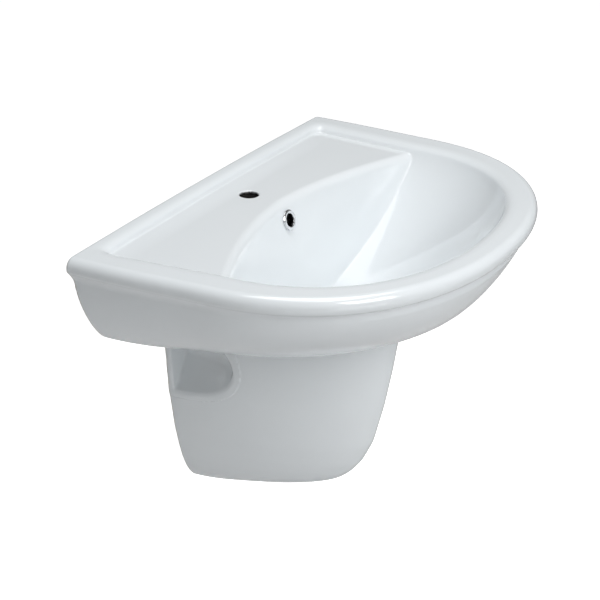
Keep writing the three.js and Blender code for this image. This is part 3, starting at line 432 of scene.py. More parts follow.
def net(values, origin, cell):
    inside = values < 0
    n = tuple(size - 1 for size in values.shape)
    count = np.zeros(n, np.int8)
    for i, j, k in CORNERS:
        count += inside[i:n[0] + i, j:n[1] + j, k:n[2] + k]
    cells = np.argwhere((count > 0) & (count < 8))
    total = np.zeros((len(cells), 3))
    hits = np.zeros(len(cells))
    for a, b in EDGES:
        va = values[tuple((cells + a).T)]
        vb = values[tuple((cells + b).T)]
        crossed = (va < 0) != (vb < 0)
        share = np.where(crossed, va / np.where(crossed, va - vb, 1), 0)
        total += crossed[:, None] * (np.array(a) + share[:, None] * (np.array(b) - np.array(a)))
        hits += crossed
    points = origin + (cells + total / hits[:, None]) * cell
    number = np.full(n, -1, np.int64)
    number[tuple(cells.T)] = np.arange(len(cells))
    faces = []
    for axis in range(3):
        second, third = (axis + 1) % 3, (axis + 2) % 3
        ahead = np.moveaxis(inside, axis, 0)
        crossed = np.moveaxis(ahead[:-1] != ahead[1:], 0, axis)
        spots = np.argwhere(crossed)
        spots = spots[(spots[:, second] > 0) & (spots[:, third] > 0)]
        spots = spots[(spots[:, second] < n[second]) & (spots[:, third] < n[third])]
        quad = []
        for back_second, back_third in ((1, 1), (0, 1), (0, 0), (1, 0)):
            step = np.zeros(3, int)
            step[second], step[third] = -back_second, -back_third
            quad.append(number[tuple((spots + step).T)])
        quad = np.stack(quad, 1)
        outward = inside[tuple(spots.T)]
        quad[~outward] = quad[~outward][:, ::-1]
        faces.append(quad)
    return points, np.concatenate(faces)


def slope_of(field, points, step=0.2):
    steps = np.eye(3) * step
    slope = [field(*(points + move).T) - field(*(points - move).T) for move in steps]
    return field(*points.T), np.stack(slope, 1) / (2 * step)


def settle(field, points, rounds=3):
    """Bring the points onto the surface, and give the direction that faces out of it."""
    for _ in range(rounds):
        here, slope = slope_of(field, points)
        size = np.maximum((slope**2).sum(1), 0.05)
        move = np.clip(here / size, -1.5, 1.5)
        points = points - slope * move[:, None]
    slope = slope_of(field, points)[1]
    return points, slope / np.maximum(np.linalg.norm(slope, axis=1), 1e-6)[:, None]


def new_object(name, points, faces, normals=None):
    """A mesh object from points in metres."""
    mesh = bpy.data.meshes.new(name)
    if isinstance(faces, np.ndarray):
        faces = faces.tolist()
    mesh.from_pydata(np.asarray(points).tolist(), [], faces)
    mesh.shade_smooth()
    if normals is not None:
        mesh.normals_split_custom_set_from_vertices(normals.tolist())
    obj = bpy.data.objects.new(name, mesh)
    bpy.context.scene.collection.objects.link(obj)
    return obj


def mark(obj, name, values):
    """Keep one number for each point of a mesh, for its glaze to read."""
    attribute = obj.data.attributes.new(name, "FLOAT", "POINT")
    attribute.data.foreach_set("value", np.asarray(values, np.float32))


def cast(name, node, field, cell):
    """One casting: sample its field, pull the net over it and settle it, inside the node's box."""
    low, high = (np.array(corner) * 1000 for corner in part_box(node))
    values, origin = sample_half(field, low - 2 * cell - 0.137, high + 2 * cell, cell)
    points, faces = net(values, origin, cell)
    points, normals = settle(field, points)
    points = np.clip(points, low + 0.02, high - 0.02)
    obj = new_object(name, points * 0.001, faces, normals)
    print(name, len(points), "points,", len(faces), "faces")
    return obj, points


# %% Cast the basin
basin, basin_points = cast("basin_casting", "basin", basin_field, 2.4)
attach(basin, "fixed")
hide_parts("basin")

# %% [markdown]
# ## The semi-pedestal
# This is a thin shroud, cast open at the back and at the top. It narrows slowly below the basin and then
# rounds in to a small foot. On each side a scooped niche leaves a flat ear against the wall, where a
# screwdriver can reach the fixing screw. Its top is cut to follow the basin's underside with a hairline joint.

# %% Pedestal field
PEDESTAL_TOP = 128.0
PEDESTAL_BOTTOM = 449.0
PEDESTAL_HALF = 114.0
PEDESTAL_REACH = 302.0
EAR = 9.0
pedestal_shares = [
    (0, 1, 1), (0.12, 0.995, 0.986), (0.29, 0.968, 0.958), (0.47, 0.93, 0.921),
    (0.66, 0.84, 0.87), (0.76, 0.766, 0.819), (0.82, 0.713, 0.771), (0.87, 0.655, 0.713),
    (0.91, 0.595, 0.598), (0.945, 0.527, 0.43), (0.975, 0.45, 0.276), (1, 0.27, 0.161),
]
pedestal_table = soft_table(
    [
        (mix(PEDESTAL_TOP, PEDESTAL_BOTTOM, drop), PEDESTAL_HALF * wide, PEDESTAL_REACH * deep)
        for drop, wide, deep in pedestal_shares
    ],
    4,
)


def pedestal_outside(x, y, depth):
    half, reach = pedestal_table(depth)
    half_below, reach_below = pedestal_table(depth + 1)
    power = 1.79
    u = np.maximum(np.abs(x) / half, 1e-4)
    v = np.maximum(-y / reach, 1e-4)
    gauge = (u**power + v**power) ** (1 / power)
    size = gauge ** (1 - power)
    slope_x = u ** (power - 1) / half * size
    slope_y = v ** (power - 1) / reach * size
    slope_down = slope_x * np.abs(x) / half * (half - half_below)
    slope_down = slope_down + slope_y * np.maximum(-y, 0) / reach * (reach - reach_below)
    return (gauge - 1) / np.maximum(np.sqrt(slope_x**2 + slope_y**2 + slope_down**2), 1e-4)


def niche_distance(x, y, depth, grow):
    """The distance to a scoop whose floor runs level to the front and slopes out downwards."""
    sizes = (38 + grow, 93 + grow, 49 + grow)
    u, v, w = (np.abs(p) / size for p, size in zip((np.abs(x) - PEDESTAL_HALF, y + EAR, depth - 228), sizes))
    slant = np.maximum(u**1.5 + w**1.5, 1e-6) ** (1 / 1.5)
    gauge = (slant**3 + v**3) ** (1 / 3)
    across = (slant / gauge) ** 2
    parts = (across * (u / slant) ** 0.5, (v / gauge) ** 2, across * (w / slant) ** 0.5)
    slope = np.sqrt(sum((part / size) ** 2 for part, size in zip(parts, sizes)))
    return (gauge - 1) / np.maximum(slope, 1e-4)


def pedestal_field(x, y, z):
    depth = RIM_HEIGHT - z
    outside = round_max(pedestal_outside(x, y, depth), depth - PEDESTAL_BOTTOM, 3)
    inside = round_max(outside + 10, depth - (PEDESTAL_BOTTOM - 12), 3)
    bulge = niche_distance(x, y, depth, 10)
    china = round_max(outside, -inside, 2.5)
    china = round_max(round_min(china, np.maximum(bulge, outside), 3), y, 2)
    niche = round_max(niche_distance(x, y, depth, 0), y + EAR, 4)
    china = round_max(china, -niche, 5)
    room = box_field(x, y, depth, 184.4, -103.4, -14.6, 117.6, 230)
    china = round_max(china, -np.maximum(hull(x, y, depth) - 0.6, -room), 1.5)
    screw = np.maximum(np.hypot(np.abs(x) - 87, depth - 199) - 4, -30 - y)
    return round_max(china, -screw, 0.7)


# %% Cast the pedestal
pedestal, pedestal_points = cast("pedestal_casting", "semi_pedestal", pedestal_field, 2.2)
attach(pedestal, "fixed")
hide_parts("semi_pedestal")

# %% [markdown]
# ## Where the glaze stops
# China is fired on its unseen faces, so the back against the wall, the hollow and the waterway stay
# unglazed. Two numbers on every point tell the glaze how bare the clay is there, and whether it lies in
# the tap hole or the top of the waterway, which are painted near-black: painted shade for holes that light
# hardly reaches.

# %% Mark bare clay and the painted shade of the holes
def depth_of(points):
    return RIM_HEIGHT - points[:, 2]


x, y, z = basin_points.T
below_hull = hull(x, y, depth_of(basin_points))
bare = smooth_step(y, -3.5, -1.0)
depth = depth_of(basin_points)
inner = smooth_step(-below_hull, 4.0, 8.0) * smooth_step(-(look_up(height_map, x, y) - depth), 4.0, 9.0)
bare = np.maximum(bare, inner)
# Painted shade: the wall of the tap hole and the top of the waterway are marked to be coloured near-black,
# standing in for the shade inside them.
in_tap_hole = smooth_step(14.6 - np.hypot(x, y + 70), 0, 1.0) * smooth_step(depth, 10.9, 12.2)
in_channel = smooth_step(1.5 - np.maximum(channel_field(x, y, depth, 0), -50), 0, 1) * (depth < 60)
mark(basin, "bare", bare)
mark(basin, "hole_painted_shade", np.maximum(in_tap_hole, in_channel))

x, y, z = pedestal_points.T
depth = depth_of(pedestal_points)
inner = smooth_step(-pedestal_outside(x, y, depth), 4.0, 8.0) * (niche_distance(x, y, depth, 0) > 1.0)
mark(pedestal, "bare", np.maximum(smooth_step(y, -3.5, -1.0), inner))
mark(pedestal, "hole_painted_shade", np.zeros(len(pedestal_points)))
print("bare share of the basin", round(float(bare.mean()), 2))

# %% [markdown]
# ## Turned and moulded pieces
# The waste, the trap and the fixings are turned, drawn or moulded round an axis. Each is a profile spun
# round its own axis. Real edges are never sharp, so each corner of a profile is replaced by a small arc
# before it is spun.

# %% Spin a profile
def soften(profile, radius, steps=3):
    """Replace each corner of a closed profile by an arc."""
    out = []
    count = len(profile)
    corners = [Vector(point) for point in profile]
    for i, here in enumerate(corners):
        before, after = corners[i - 1], corners[(i + 1) % count]
        to_before, to_after = before - here, after - here
        if to_before.length < 1e-9 or to_after.length < 1e-9:
            continue
        turn = to_before.angle(to_after, math.pi)
        reach = min(radius / max(math.tan(turn / 2), 0.2), 0.45 * to_before.length, 0.45 * to_after.length)
        if turn > math.radians(172) or here.x < 1e-9:
            out.append(here)
            continue
        start = here + to_before.normalized() * reach
        end = here + to_after.normalized() * reach
        for k in range(steps + 1):
            t = k / steps
            out.append((1 - t) ** 2 * start + 2 * t * (1 - t) * here + t * t * end)
    return [(max(point.x, 0), point.y) for point in out]


def spin(profile, segments=72, swell=None):
    """Spin a closed profile round Z. A swell can change the radius with the angle and the height."""
    angles = np.arange(segments) * 2 * math.pi / segments
    points = []
    for radius, height in profile:
        radii = np.full(segments, radius) if swell is None else swell(radius, height, angles)
        level = np.full(segments, height)
        points.append(np.stack([radii * np.cos(angles), radii * np.sin(angles), level], 1))
    count = len(profile)
    faces = []
    for ring in range(count):
        following = (ring + 1) % count
        if profile[ring][0] < 1e-9 and profile[following][0] < 1e-9:
            continue
        for i in range(segments):
            j = (i + 1) % segments
            here, there = ring * segments, following * segments
            faces.append((here + i, here + j, there + j, there + i))
    return np.concatenate(points), faces


def tidy_mesh(obj, angle=35):
    """Join points that coincide, turn faces outwards, and keep only the sharp edges sharp."""
    work = bmesh.new()
    work.from_mesh(obj.data)
    bmesh.ops.remove_doubles(work, verts=work.verts, dist=1e-6)
    bmesh.ops.dissolve_degenerate(work, edges=work.edges, dist=1e-7)
    bmesh.ops.recalc_face_normals(work, faces=work.faces)
    work.to_mesh(obj.data)
    work.free()
    obj.data.shade_smooth()
    obj.data.set_sharp_from_angle(angle=math.radians(angle))


def body_of_node(node):
    for body, members in frame["record"]["behaviour"]["bodies"].items():
        if node in members:
            return body


slots = {part["node"]: part["material_slot"] for part in frame["record"]["subparts"]}
made = {}


def make(node, shapes, place):
    """One object for one CAD node, from any number of closed shapes in millimetres."""
    points, faces, start = [], [], 0
    for shape_points, shape_faces in shapes:
        points.append(shape_points)
        faces.extend(tuple(index + start for index in face) for face in shape_faces)
        start += len(shape_points)
    everything = np.concatenate(points) * 0.001
    moved = [place @ Vector(point) for point in everything]
    obj = new_object(node + "_fine", moved, faces)
    tidy_mesh(obj)
    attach(obj, body_of_node(node))
    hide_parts(node)
    made[node] = obj
    return obj


def ring_profile(inner, outer, low, high):
    return [(inner, low), (outer, low), (outer, high), (inner, high)]


ON_WASTE = Matrix.Translation((0, WASTE_Y * 0.001, 0))


def span(node):
    """The lowest and highest corner of a node, in millimetres."""
    low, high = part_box(node)
    return [value * 1000 for value in low], [value * 1000 for value in high]


# %% [markdown]
# ## Overflow ring
# A spun chrome ring lines the overflow hole. It stands square to the steep back of the bowl, so from the
# front it shows as a thin oval with a dark centre.

# %% Overflow ring
ring_centre = Matrix.Translation((0, OVERFLOW_Y * 0.001, (RIM_HEIGHT - OVERFLOW_DEPTH) * 0.001))
overflow_place = ring_centre @ Matrix.Rotation(BACK_ANGLE, 4, "X")
ring = [
    (9.0, -11), (11.2, -11), (11.2, 0.9), (14.25, 0.9), (14.25, 2.0),
    (13.2, 2.9), (11.8, 3.25), (10.2, 3.1), (9.2, 2.5), (9.0, 1.6),
]
make("overflow_ring", [spin(soften(ring, 0.4), 96)], overflow_place)
print("overflow ring points", len(made["overflow_ring"].data.vertices))

# %% [markdown]
# ## Waste and plug
# The waste is a cast tube with a wide polished flange. A rubber ring seals it above, and a tapered washer
# and a brass nut clamp it below. The plug is a domed cap on a short stem that clicks up and down.

# %% Threads, ribs and flats
def threaded(pitch, deep, low, high):
    """A swell that cuts a screw thread between two heights."""
    def swell(radius, height, angles):
        phase = (height / pitch + angles / (2 * math.pi)) % 1
        inside = 1.0 if low < height < high else 0.0
        return radius - inside * deep * np.abs(2 * phase - 1)
    return swell


def flats(sides):
    """A swell that gives a nut its flat sides: the radius is that of the corners."""
    def swell(radius, height, angles):
        turn = (angles + math.pi / sides) % (2 * math.pi / sides) - math.pi / sides
        return radius * math.cos(math.pi / sides) / np.cos(turn)
    return swell


def plain_ring(node, inner, soft=0.4, segments=72):
    low, high = span(node)
    outer = (high[0] - low[0]) / 2
    profile = ring_profile(inner, outer - 0.02, low[2], high[2])
    return make(node, [spin(soften(profile, soft), segments)], ON_WASTE)


def hex_nut(node, bore, place, low, high, corner):
    """A nut with six flats, whose corners are turned off at both ends."""
    cut = corner * 0.075
    outside = [
        (corner - cut, low), (corner, low + cut * 0.55), (corner, high - cut * 0.55), (corner - cut, high),
    ]
    bore_swell = flats(6)

    def swell(radius, height, angles):
        if radius <= bore + 0.9:
            return np.full(len(angles), radius)
        return np.minimum(bore_swell(corner, height, angles), radius)

    rings = [(bore + 0.8, low), *outside, (bore + 0.8, high), (bore, high - 0.8), (bore, low + 0.8)]
    return make(node, [spin(rings, 96, swell)], place)


# %% Waste body, washers and nut
low, high = span("waste_body")
tail_low, flange_high = low[2], high[2]
flange_low = flange_high - 2.5
waste = [(18.5, tail_low), (20.85, tail_low), (20.85, tail_low + 1)]
for k in range(91):
    waste.append((20.85, tail_low + 1.5 + k * 0.5))
waste += [
    (20.85, flange_low), (32.4, flange_low), (32.4, flange_high - 1.5), (30.6, flange_high),
    (22.5, flange_high - 0.1), (20.4, flange_high - 1.6), (18.5, flange_high - 3.4),
]
waste_shapes = [spin(waste, 96, threaded(1.5, 0.55, tail_low + 1.2, tail_low + 46))]
cartridge_low = span("plug_cartridge")[0][2]
arms_low, arms_high = cartridge_low - 4.3, cartridge_low - 0.3
for arm in range(3):
    angle = arm * 2 * math.pi / 3 + math.pi / 2
    across = np.array([-math.sin(angle), math.cos(angle), 0])
    along = np.array([math.cos(angle), math.sin(angle), 0])
    corners = []
    for height in (arms_low, arms_high):
        for reach, side in ((0, -3.2), (19.0, -3.2), (19.0, 3.2), (0, 3.2)):
            corners.append(along * reach + across * side + np.array([0, 0, height]))
    box_faces = [(3, 2, 1, 0), (4, 5, 6, 7), (0, 1, 5, 4), (1, 2, 6, 5), (2, 3, 7, 6), (3, 0, 4, 7)]
    waste_shapes.append((np.array(corners), box_faces))
make("waste_body", waste_shapes, ON_WASTE)
plain_ring("waste_flange_seal", 21.2, 0.5)

low, high = span("waste_lower_washer")
washer = [(21.2, low[2]), (30.9, low[2]), (30.9, high[2] - 3.5), (24.2, high[2]), (21.2, high[2])]
make("waste_lower_washer", [spin(soften(washer, 0.6), 72)], ON_WASTE)
low, high = span("waste_back_nut")
hex_nut("waste_back_nut", 21.2, ON_WASTE, low[2], high[2], (high[0] - low[0]) / 2)
print("waste tail ends at", round(tail_low, 1), "mm")

# %% Plug, its seal, stem and cartridge
low, high = span("plug_cap")
cap_low, cap_high = low[2], high[2]
dome = [(0, cap_low), (26.8, cap_low), (28.7, cap_low + 1.0), (28.95, cap_low + 2.0), (28.4, cap_low + 2.9)]
for k in range(1, 10):
    rise = (cap_high - cap_low - 2.9) * math.sin(k * math.pi / 20)
    dome.append((28.0 * math.cos(k * math.pi / 20), cap_low + 2.9 + rise))
dome.append((0, cap_high))
make("plug_cap", [spin(dome, 96)], ON_WASTE)
low, high = span("plug_seal")
seal = [
    (3.0, low[2]), (19, low[2]), (22.9, low[2] + 1.0), (22.9, high[2] - 0.6), (21, high[2]), (3.0, high[2]),
]
make("plug_seal", [spin(soften(seal, 0.4), 72)], ON_WASTE)
low, high = span("plug_stem")
stem = [
    (0, low[2]), (3.4, low[2]), (3.98, low[2] + 0.8), (3.98, high[2] - 5.9),
    (2.6, high[2] - 5.6), (2.6, high[2] - 0.3), (2.2, high[2]), (0, high[2]),
]
make("plug_stem", [spin(stem, 48)], ON_WASTE)
low, high = span("plug_cartridge")
cartridge = [
    (0, low[2]), (7.9, low[2]), (7.9, low[2] + 5), (7.3, low[2] + 5.4), (7.3, low[2] + 13),
    (7.9, low[2] + 13.4), (7.9, high[2]), (4.3, high[2]), (4.3, low[2] + 2.5), (0, low[2] + 2.5),
]
make("plug_cartridge", [spin(soften(cartridge, 0.3), 48)], ON_WASTE)
print("plug stands", round(cap_high - flange_high, 1), "mm above the flange")

# %% [markdown]
# ## Bottle trap
# A thin chromed tube carries the water down into a drum, where it turns round and leaves through a stub at
# the back. Slip nuts with finger ribs squeeze rubber rings at each joint, and the cup below unscrews so
# that the trap can be emptied.

# %% Slip nuts and tubes
def slip_nut(node, bore_low, bore_high, place, low, high, outer, sides=12):
    """A ribbed nut with a smooth collar at its narrow end."""
    collar = low + (high - low) * 0.72
    rings = [
        (bore_low, low), (outer, low), (outer, collar),
        (outer - 1.6, collar + 0.8), (outer - 2.2, high - 0.8),
        (bore_high + 1.8, high), (bore_high, high), (bore_high, high - 2.4), (bore_low, high - 2.8),
    ]

    def swell(radius, height, angles):
        if radius < outer - 0.4 or height > collar + 0.2:
            return np.full(len(angles), radius)
        return radius - 0.9 * (0.5 - 0.5 * np.cos(angles * sides))

    return make(node, [spin(soften(rings, 0.4), 144, swell)], place)


low, high = span("trap_coupling_nut")
turned_over = Matrix.Translation((0, 0, (low[2] + high[2]) * 0.001)) @ Matrix.Rotation(math.pi, 4, "X")
slip_nut("trap_coupling_nut", 21.2, 16.3, ON_WASTE @ turned_over, low[2], high[2], 25.85)
plain_ring("trap_inlet_washer", 16.3, 0.4)
low, high = span("trap_inlet_tube")
tube = [
    (14.8, low[2]), (15.95, low[2]), (15.95, high[2] - 3.6), (16.6, high[2] - 2.4),
    (19.95, high[2] - 2.4), (19.95, high[2]), (14.8, high[2]),
]
make("trap_inlet_tube", [spin(soften(tube, 0.4), 96)], ON_WASTE)
low, high = span("trap_top_nut")
slip_nut("trap_top_nut", 20.8, 16.3, ON_WASTE, low[2], high[2], 25.95)
plain_ring("trap_top_seal", 16.3, 0.6)

# %% Trap body and cup
low, high = span("trap_body")
body_low, neck_high = low[2], high[2]
body_high = neck_high - 9
stub_z = span("trap_outlet_pipe")[0][2] + 16
drum = [(25, body_low), (26.95, body_low)]
drum += [(26.95, body_low + 0.5 + k * 0.5) for k in range(1, 21)]
drum += [
    (26.95, body_high - 4), (25.8, body_high - 1.4), (23.5, body_high), (20.45, body_high),
    (20.45, neck_high), (16.35, neck_high), (16.35, body_high - 2), (25, body_high - 5),
]
drum_shape = spin(drum, 96, threaded(2.0, 0.5, body_low + 0.4, body_low + 10.6))
stub_points, stub_faces = spin(soften([(16.35, 20.5), (19.45, 20.5), (19.45, 46.9), (16.35, 46.9)], 0.4), 96)
stub_points = np.stack([stub_points[:, 0], stub_points[:, 2], stub_z - stub_points[:, 1]], 1)
make("trap_body", [drum_shape, (stub_points, stub_faces)], ON_WASTE)

plain_ring("trap_cup_seal", 25.05, 0.4)
low, high = span("trap_cup")
cup_low, cup_high = low[2], high[2]
foot = cup_low + 5
skirt = (high[0] - low[0]) / 2 - 0.05
cup = [
    (0, foot), (14, foot), (19, foot + 0.3), (24.5, foot + 1.8), (27.6, foot + 4.6), (28.6, foot + 9),
    (28.6, cup_high - 17), (skirt, cup_high - 15), (skirt, cup_high), (skirt - 2.1, cup_high),
    (skirt - 2.1, cup_high - 12.8), (24.4, cup_high - 13), (23.7, cup_high - 15), (23.7, foot + 9),
    (22, foot + 4.4), (16, foot + 2.2), (0, foot + 2),
]


def cup_swell(radius, height, angles):
    if radius > skirt - 0.7 and cup_high - 14.5 < height < cup_high - 1.5:
        return radius - 0.7 * (0.5 - 0.5 * np.cos(angles * 24))
    return np.full(len(angles), radius)


grip = [(0, cup_low), (12.0, cup_low), (12.9, cup_low + 0.7), (12.9, foot + 1.2), (0, foot + 1.2)]


def grip_swell(radius, height, angles):
    return np.minimum(flats(6)(12.9, height, angles), radius)


make("trap_cup", [spin(soften(cup, 0.5), 144, cup_swell), spin(grip, 96, grip_swell)], ON_WASTE)
print("trap from", round(neck_high, 1), "down to", round(cup_low, 1), "mm")

# %% Outlet pipe, nut, seal and rosette
ALONG_WALL = Matrix.Translation((0, 0, stub_z * 0.001)) @ Matrix.Rotation(math.pi / 2, 4, "X")


def on_outlet(node, rings, soft=0.4, segments=96, swell=None):
    return make(node, [spin(soften(rings, soft), segments, swell)], ALONG_WALL)


low, high = span("trap_outlet_pipe")
on_outlet("trap_outlet_pipe", ring_profile(14.8, 15.95, -high[1], -low[1]), 0.3)
low, high = span("trap_outlet_seal")
on_outlet("trap_outlet_seal", ring_profile(16.3, 19.45, -high[1], -low[1]), 0.6)
low, high = span("trap_outlet_nut")
near, far = -high[1], -low[1]
turned_over = Matrix.Translation((0, 0, (near + far) * 0.001)) @ Matrix.Rotation(math.pi, 4, "X")
slip_nut("trap_outlet_nut", 19.8, 16.3, ALONG_WALL @ turned_over, near, far, 24.95)
low, high = span("wall_rosette")
rosette = [
    (16.3, 0), (31.95, 0), (31.95, 1.2), (31.0, 3.4), (28.2, 6.2),
    (24, 8.0), (19.5, 8.9), (17.2, 8.7), (16.3, 7.6),
]
on_outlet("wall_rosette", [(radius, min(height, -low[1])) for radius, height in rosette], 0.5)

# %% [markdown]
# ## Fixings
# Each side has a threaded wall stud with a plastic sleeve, a washer and a hexagon nut, and a screw through
# the pedestal's ear, with a plastic bush below its head and a snap cap over it.

# %% Studs, sleeves, washers and nuts
for word, side in (("left", -1), ("right", 1)):
    low, high = span("basin_stud_" + word)
    on_stud = Matrix.Translation((side * 0.14, 0, 0)) @ Matrix.Rotation(math.pi / 2, 4, "X")
    end = -low[1]
    rod = [(0, 0), (4.95, 0)]
    rod += [(4.95, 0.25 + k * 0.25) for k in range(int((end - 1.2) * 4))]
    rod += [(4.95, end - 0.8), (4.0, end), (0, end)]
    make("basin_stud_" + word, [spin(rod, 48, threaded(1.5, 0.55, 0.3, end - 0.9))], on_stud)
    low, high = span("stud_sleeve_" + word)
    sleeve = [
        (5.3, -high[1]), (8.55, -high[1]), (8.55, -low[1] - 3), (12.95, -low[1] - 3),
        (12.95, -low[1]), (5.3, -low[1]),
    ]
    make("stud_sleeve_" + word, [spin(soften(sleeve, 0.4), 64)], on_stud)
    low, high = span("stud_washer_" + word)
    washer = ring_profile(5.3, 13.95, -high[1], -low[1])
    make("stud_washer_" + word, [spin(soften(washer, 0.3), 64)], on_stud)
    low, high = span("stud_nut_" + word)
    hex_nut("stud_nut_" + word, 5.3, on_stud, -high[1], -low[1], (high[0] - low[0]) / 2)
print("stud length", round(end, 1), "mm")

# %% Pedestal screws, bushes and caps
for word, side in (("left", -1), ("right", 1)):
    on_screw = Matrix.Translation((side * 0.087, 0, -0.134)) @ Matrix.Rotation(math.pi / 2, 4, "X")
    low, high = span("pedestal_screw_" + word)
    end = -low[1]
    screw = [
        (0, 0), (2.95, 0), (2.95, end - 4), (5.9, end - 4), (5.95, end - 2.4),
        (5.2, end - 0.9), (3.4, end - 0.1), (1.8, end), (1.8, end - 2.2), (0, end - 2.2),
    ]
    make("pedestal_screw_" + word, [spin(soften(screw, 0.25), 48)], on_screw)
    low, high = span("screw_bush_" + word)
    bush = ring_profile(3.3, 8.45, -high[1], -low[1])
    make("screw_bush_" + word, [spin(soften(bush, 0.3), 48)], on_screw)
    low, high = span("screw_cap_" + word)
    near, far = -high[1], -low[1]
    outer = (high[0] - low[0]) / 2 - 0.03
    dome = [
        (outer - 1.3, near), (outer, near), (outer, far - 2.8), (outer - 0.7, far - 1.2),
        (outer - 2.2, far - 0.3), (0, far), (0, far - 1.2), (outer - 2.4, far - 1.4),
        (outer - 1.3, far - 2.8),
    ]
    make("screw_cap_" + word, [spin(soften(dome, 0.2), 64)], on_screw)
print("pieces made", len(made) + 2)

# %% [markdown]
# ## Finishes
# Each finish is a small network that works from the object's own coordinates, so nothing swims when the
# plug or the trap's cup moves. The glaze is nearly white and a little cool, with a clear glassy surface that
# is never quite flat.

# %% Node helpers
def new_material(name):
    material = bpy.data.materials.new(name)
    material.use_nodes = True
    nodes = material.node_tree.nodes
    return material, nodes, material.node_tree.links, nodes["Principled BSDF"]


def noise(nodes, links, scale, detail=3.0, stretch=None):
    """A noise that is fixed to the object."""
    where = nodes.new("ShaderNodeTexCoord")
    source = where.outputs["Object"]
    if stretch:
        mapping = nodes.new("ShaderNodeMapping")
        mapping.inputs["Scale"].default_value = stretch
        links.new(source, mapping.inputs["Vector"])
        source = mapping.outputs["Vector"]
    texture = nodes.new("ShaderNodeTexNoise")
    texture.inputs["Scale"].default_value = scale
    texture.inputs["Detail"].default_value = detail
    links.new(source, texture.inputs["Vector"])
    return texture.outputs["Fac"]


def ranged(nodes, links, source, low, high, from_low=0.3, from_high=0.7):
    """A value moved into a range of its own."""
    node = nodes.new("ShaderNodeMapRange")
    node.inputs["From Min"].default_value = from_low
    node.inputs["From Max"].default_value = from_high
    node.inputs["To Min"].default_value = low
    node.inputs["To Max"].default_value = high
    links.new(source, node.inputs["Value"])
    return node.outputs["Result"]


def blend_colour(nodes, links, share, first, second):
    """A mix of two colours. Each is a colour or another node's output."""
    node = nodes.new("ShaderNodeMix")
    node.data_type = "RGBA"
    links.new(share, node.inputs["Factor"])
    for socket, value in ((node.inputs[6], first), (node.inputs[7], second)):
        if isinstance(value, tuple):
            socket.default_value = (*value, 1)
        else:
            links.new(value, socket)
    return node.outputs[2]


def blend_value(nodes, links, share, first, second):
    node = nodes.new("ShaderNodeMix")
    links.new(share, node.inputs["Factor"])
    for socket, value in ((node.inputs[2], first), (node.inputs[3], second)):
        if isinstance(value, float):
            socket.default_value = value
        else:
            links.new(value, socket)
    return node.outputs[0]


def attribute(nodes, name):
    node = nodes.new("ShaderNodeAttribute")
    node.attribute_name = name
    return node.outputs["Fac"]


def bump(nodes, links, shader, height, distance, strength=1.0):
    node = nodes.new("ShaderNodeBump")
    node.inputs["Distance"].default_value = distance
    node.inputs["Strength"].default_value = strength
    links.new(height, node.inputs["Height"])
    links.new(node.outputs["Normal"], shader.inputs["Normal"])
    return node


# %% Glazed china
china, nodes, links, shader = new_material("glazed_china")
tint = noise(nodes, links, 5.0, 2.0)
cloud = ranged(nodes, links, tint, 0, 1)
glaze = blend_colour(nodes, links, cloud, (0.772, 0.812, 0.836), (0.792, 0.830, 0.852))
grain = noise(nodes, links, 900.0, 2.0)
clay = blend_colour(nodes, links, grain, (0.60, 0.555, 0.50), (0.72, 0.68, 0.62))
body = blend_colour(nodes, links, attribute(nodes, "bare"), glaze, clay)
# Painted shade: inside the tap hole and the top of the waterway the colour is near-black, standing in for the
# shade there.
body = blend_colour(nodes, links, attribute(nodes, "hole_painted_shade"), body, (0.012, 0.012, 0.012))
links.new(body, shader.inputs["Base Color"])
sheen = ranged(nodes, links, noise(nodes, links, 14.0, 2.0), 0.07, 0.11)
links.new(blend_value(nodes, links, attribute(nodes, "bare"), sheen, 0.75), shader.inputs["Roughness"])
shader.inputs["IOR"].default_value = 1.52
shader.inputs["Coat Weight"].default_value = 0.2
shader.inputs["Coat Roughness"].default_value = 0.03
bump(nodes, links, shader, noise(nodes, links, 22.0, 1.0), 0.0006, 0.08)
for casting in (basin, pedestal):
    casting.data.materials.append(china)
print("china nodes", len(nodes))

# %% [markdown]
# Chrome is a mirror with a faint cool tint. Brass is turned, so its marks run round the axis, and plated
# steel has a fine even grain. Rubber and plastics are plain mouldings with a fine texture.

# %% Metals, rubber and plastics
def plain_finish(name, light, dark, rough, metallic, grain_scale, grain_depth, stretch=None, coat=0.0):
    material, nodes, links, shader = new_material(name)
    cloud = noise(nodes, links, 30.0, 3.0)
    links.new(blend_colour(nodes, links, cloud, light, dark), shader.inputs["Base Color"])
    fine = noise(nodes, links, grain_scale, 3.0, stretch)
    links.new(ranged(nodes, links, fine, *rough), shader.inputs["Roughness"])
    shader.inputs["Metallic"].default_value = metallic
    shader.inputs["Coat Weight"].default_value = coat
    if grain_depth:
        bump(nodes, links, shader, fine, grain_depth, 0.4)
    return material


finishes = {
    "chrome": plain_finish(
        "polished_chrome", (0.80, 0.81, 0.82), (0.74, 0.75, 0.77), (0.05, 0.11), 1.0, 300.0, 0.0
    ),
    "brass": plain_finish(
        "turned_brass", (0.72, 0.55, 0.28), (0.62, 0.45, 0.22), (0.24, 0.38), 1.0, 260.0, 0.00006, (1, 1, 6)
    ),
    "steel": plain_finish(
        "zinc_plated_steel", (0.62, 0.63, 0.66), (0.52, 0.53, 0.56), (0.28, 0.42), 1.0, 320.0, 0.00006
    ),
    "rubber": plain_finish(
        "black_rubber", (0.028, 0.028, 0.030), (0.040, 0.040, 0.042), (0.62, 0.78), 0.0, 800.0, 0.00005
    ),
    "white_plastic": plain_finish(
        "white_plastic", (0.80, 0.80, 0.77), (0.77, 0.77, 0.74), (0.28, 0.36), 0.0, 500.0, 0.00003, coat=0.1
    ),
    "grey_plastic": plain_finish(
        "grey_plastic", (0.33, 0.34, 0.36), (0.28, 0.29, 0.31), (0.45, 0.58), 0.0, 600.0, 0.00004
    ),
}
for node, obj in made.items():
    obj.data.materials.append(finishes[slots[node]])
print("finishes", sorted(finishes))

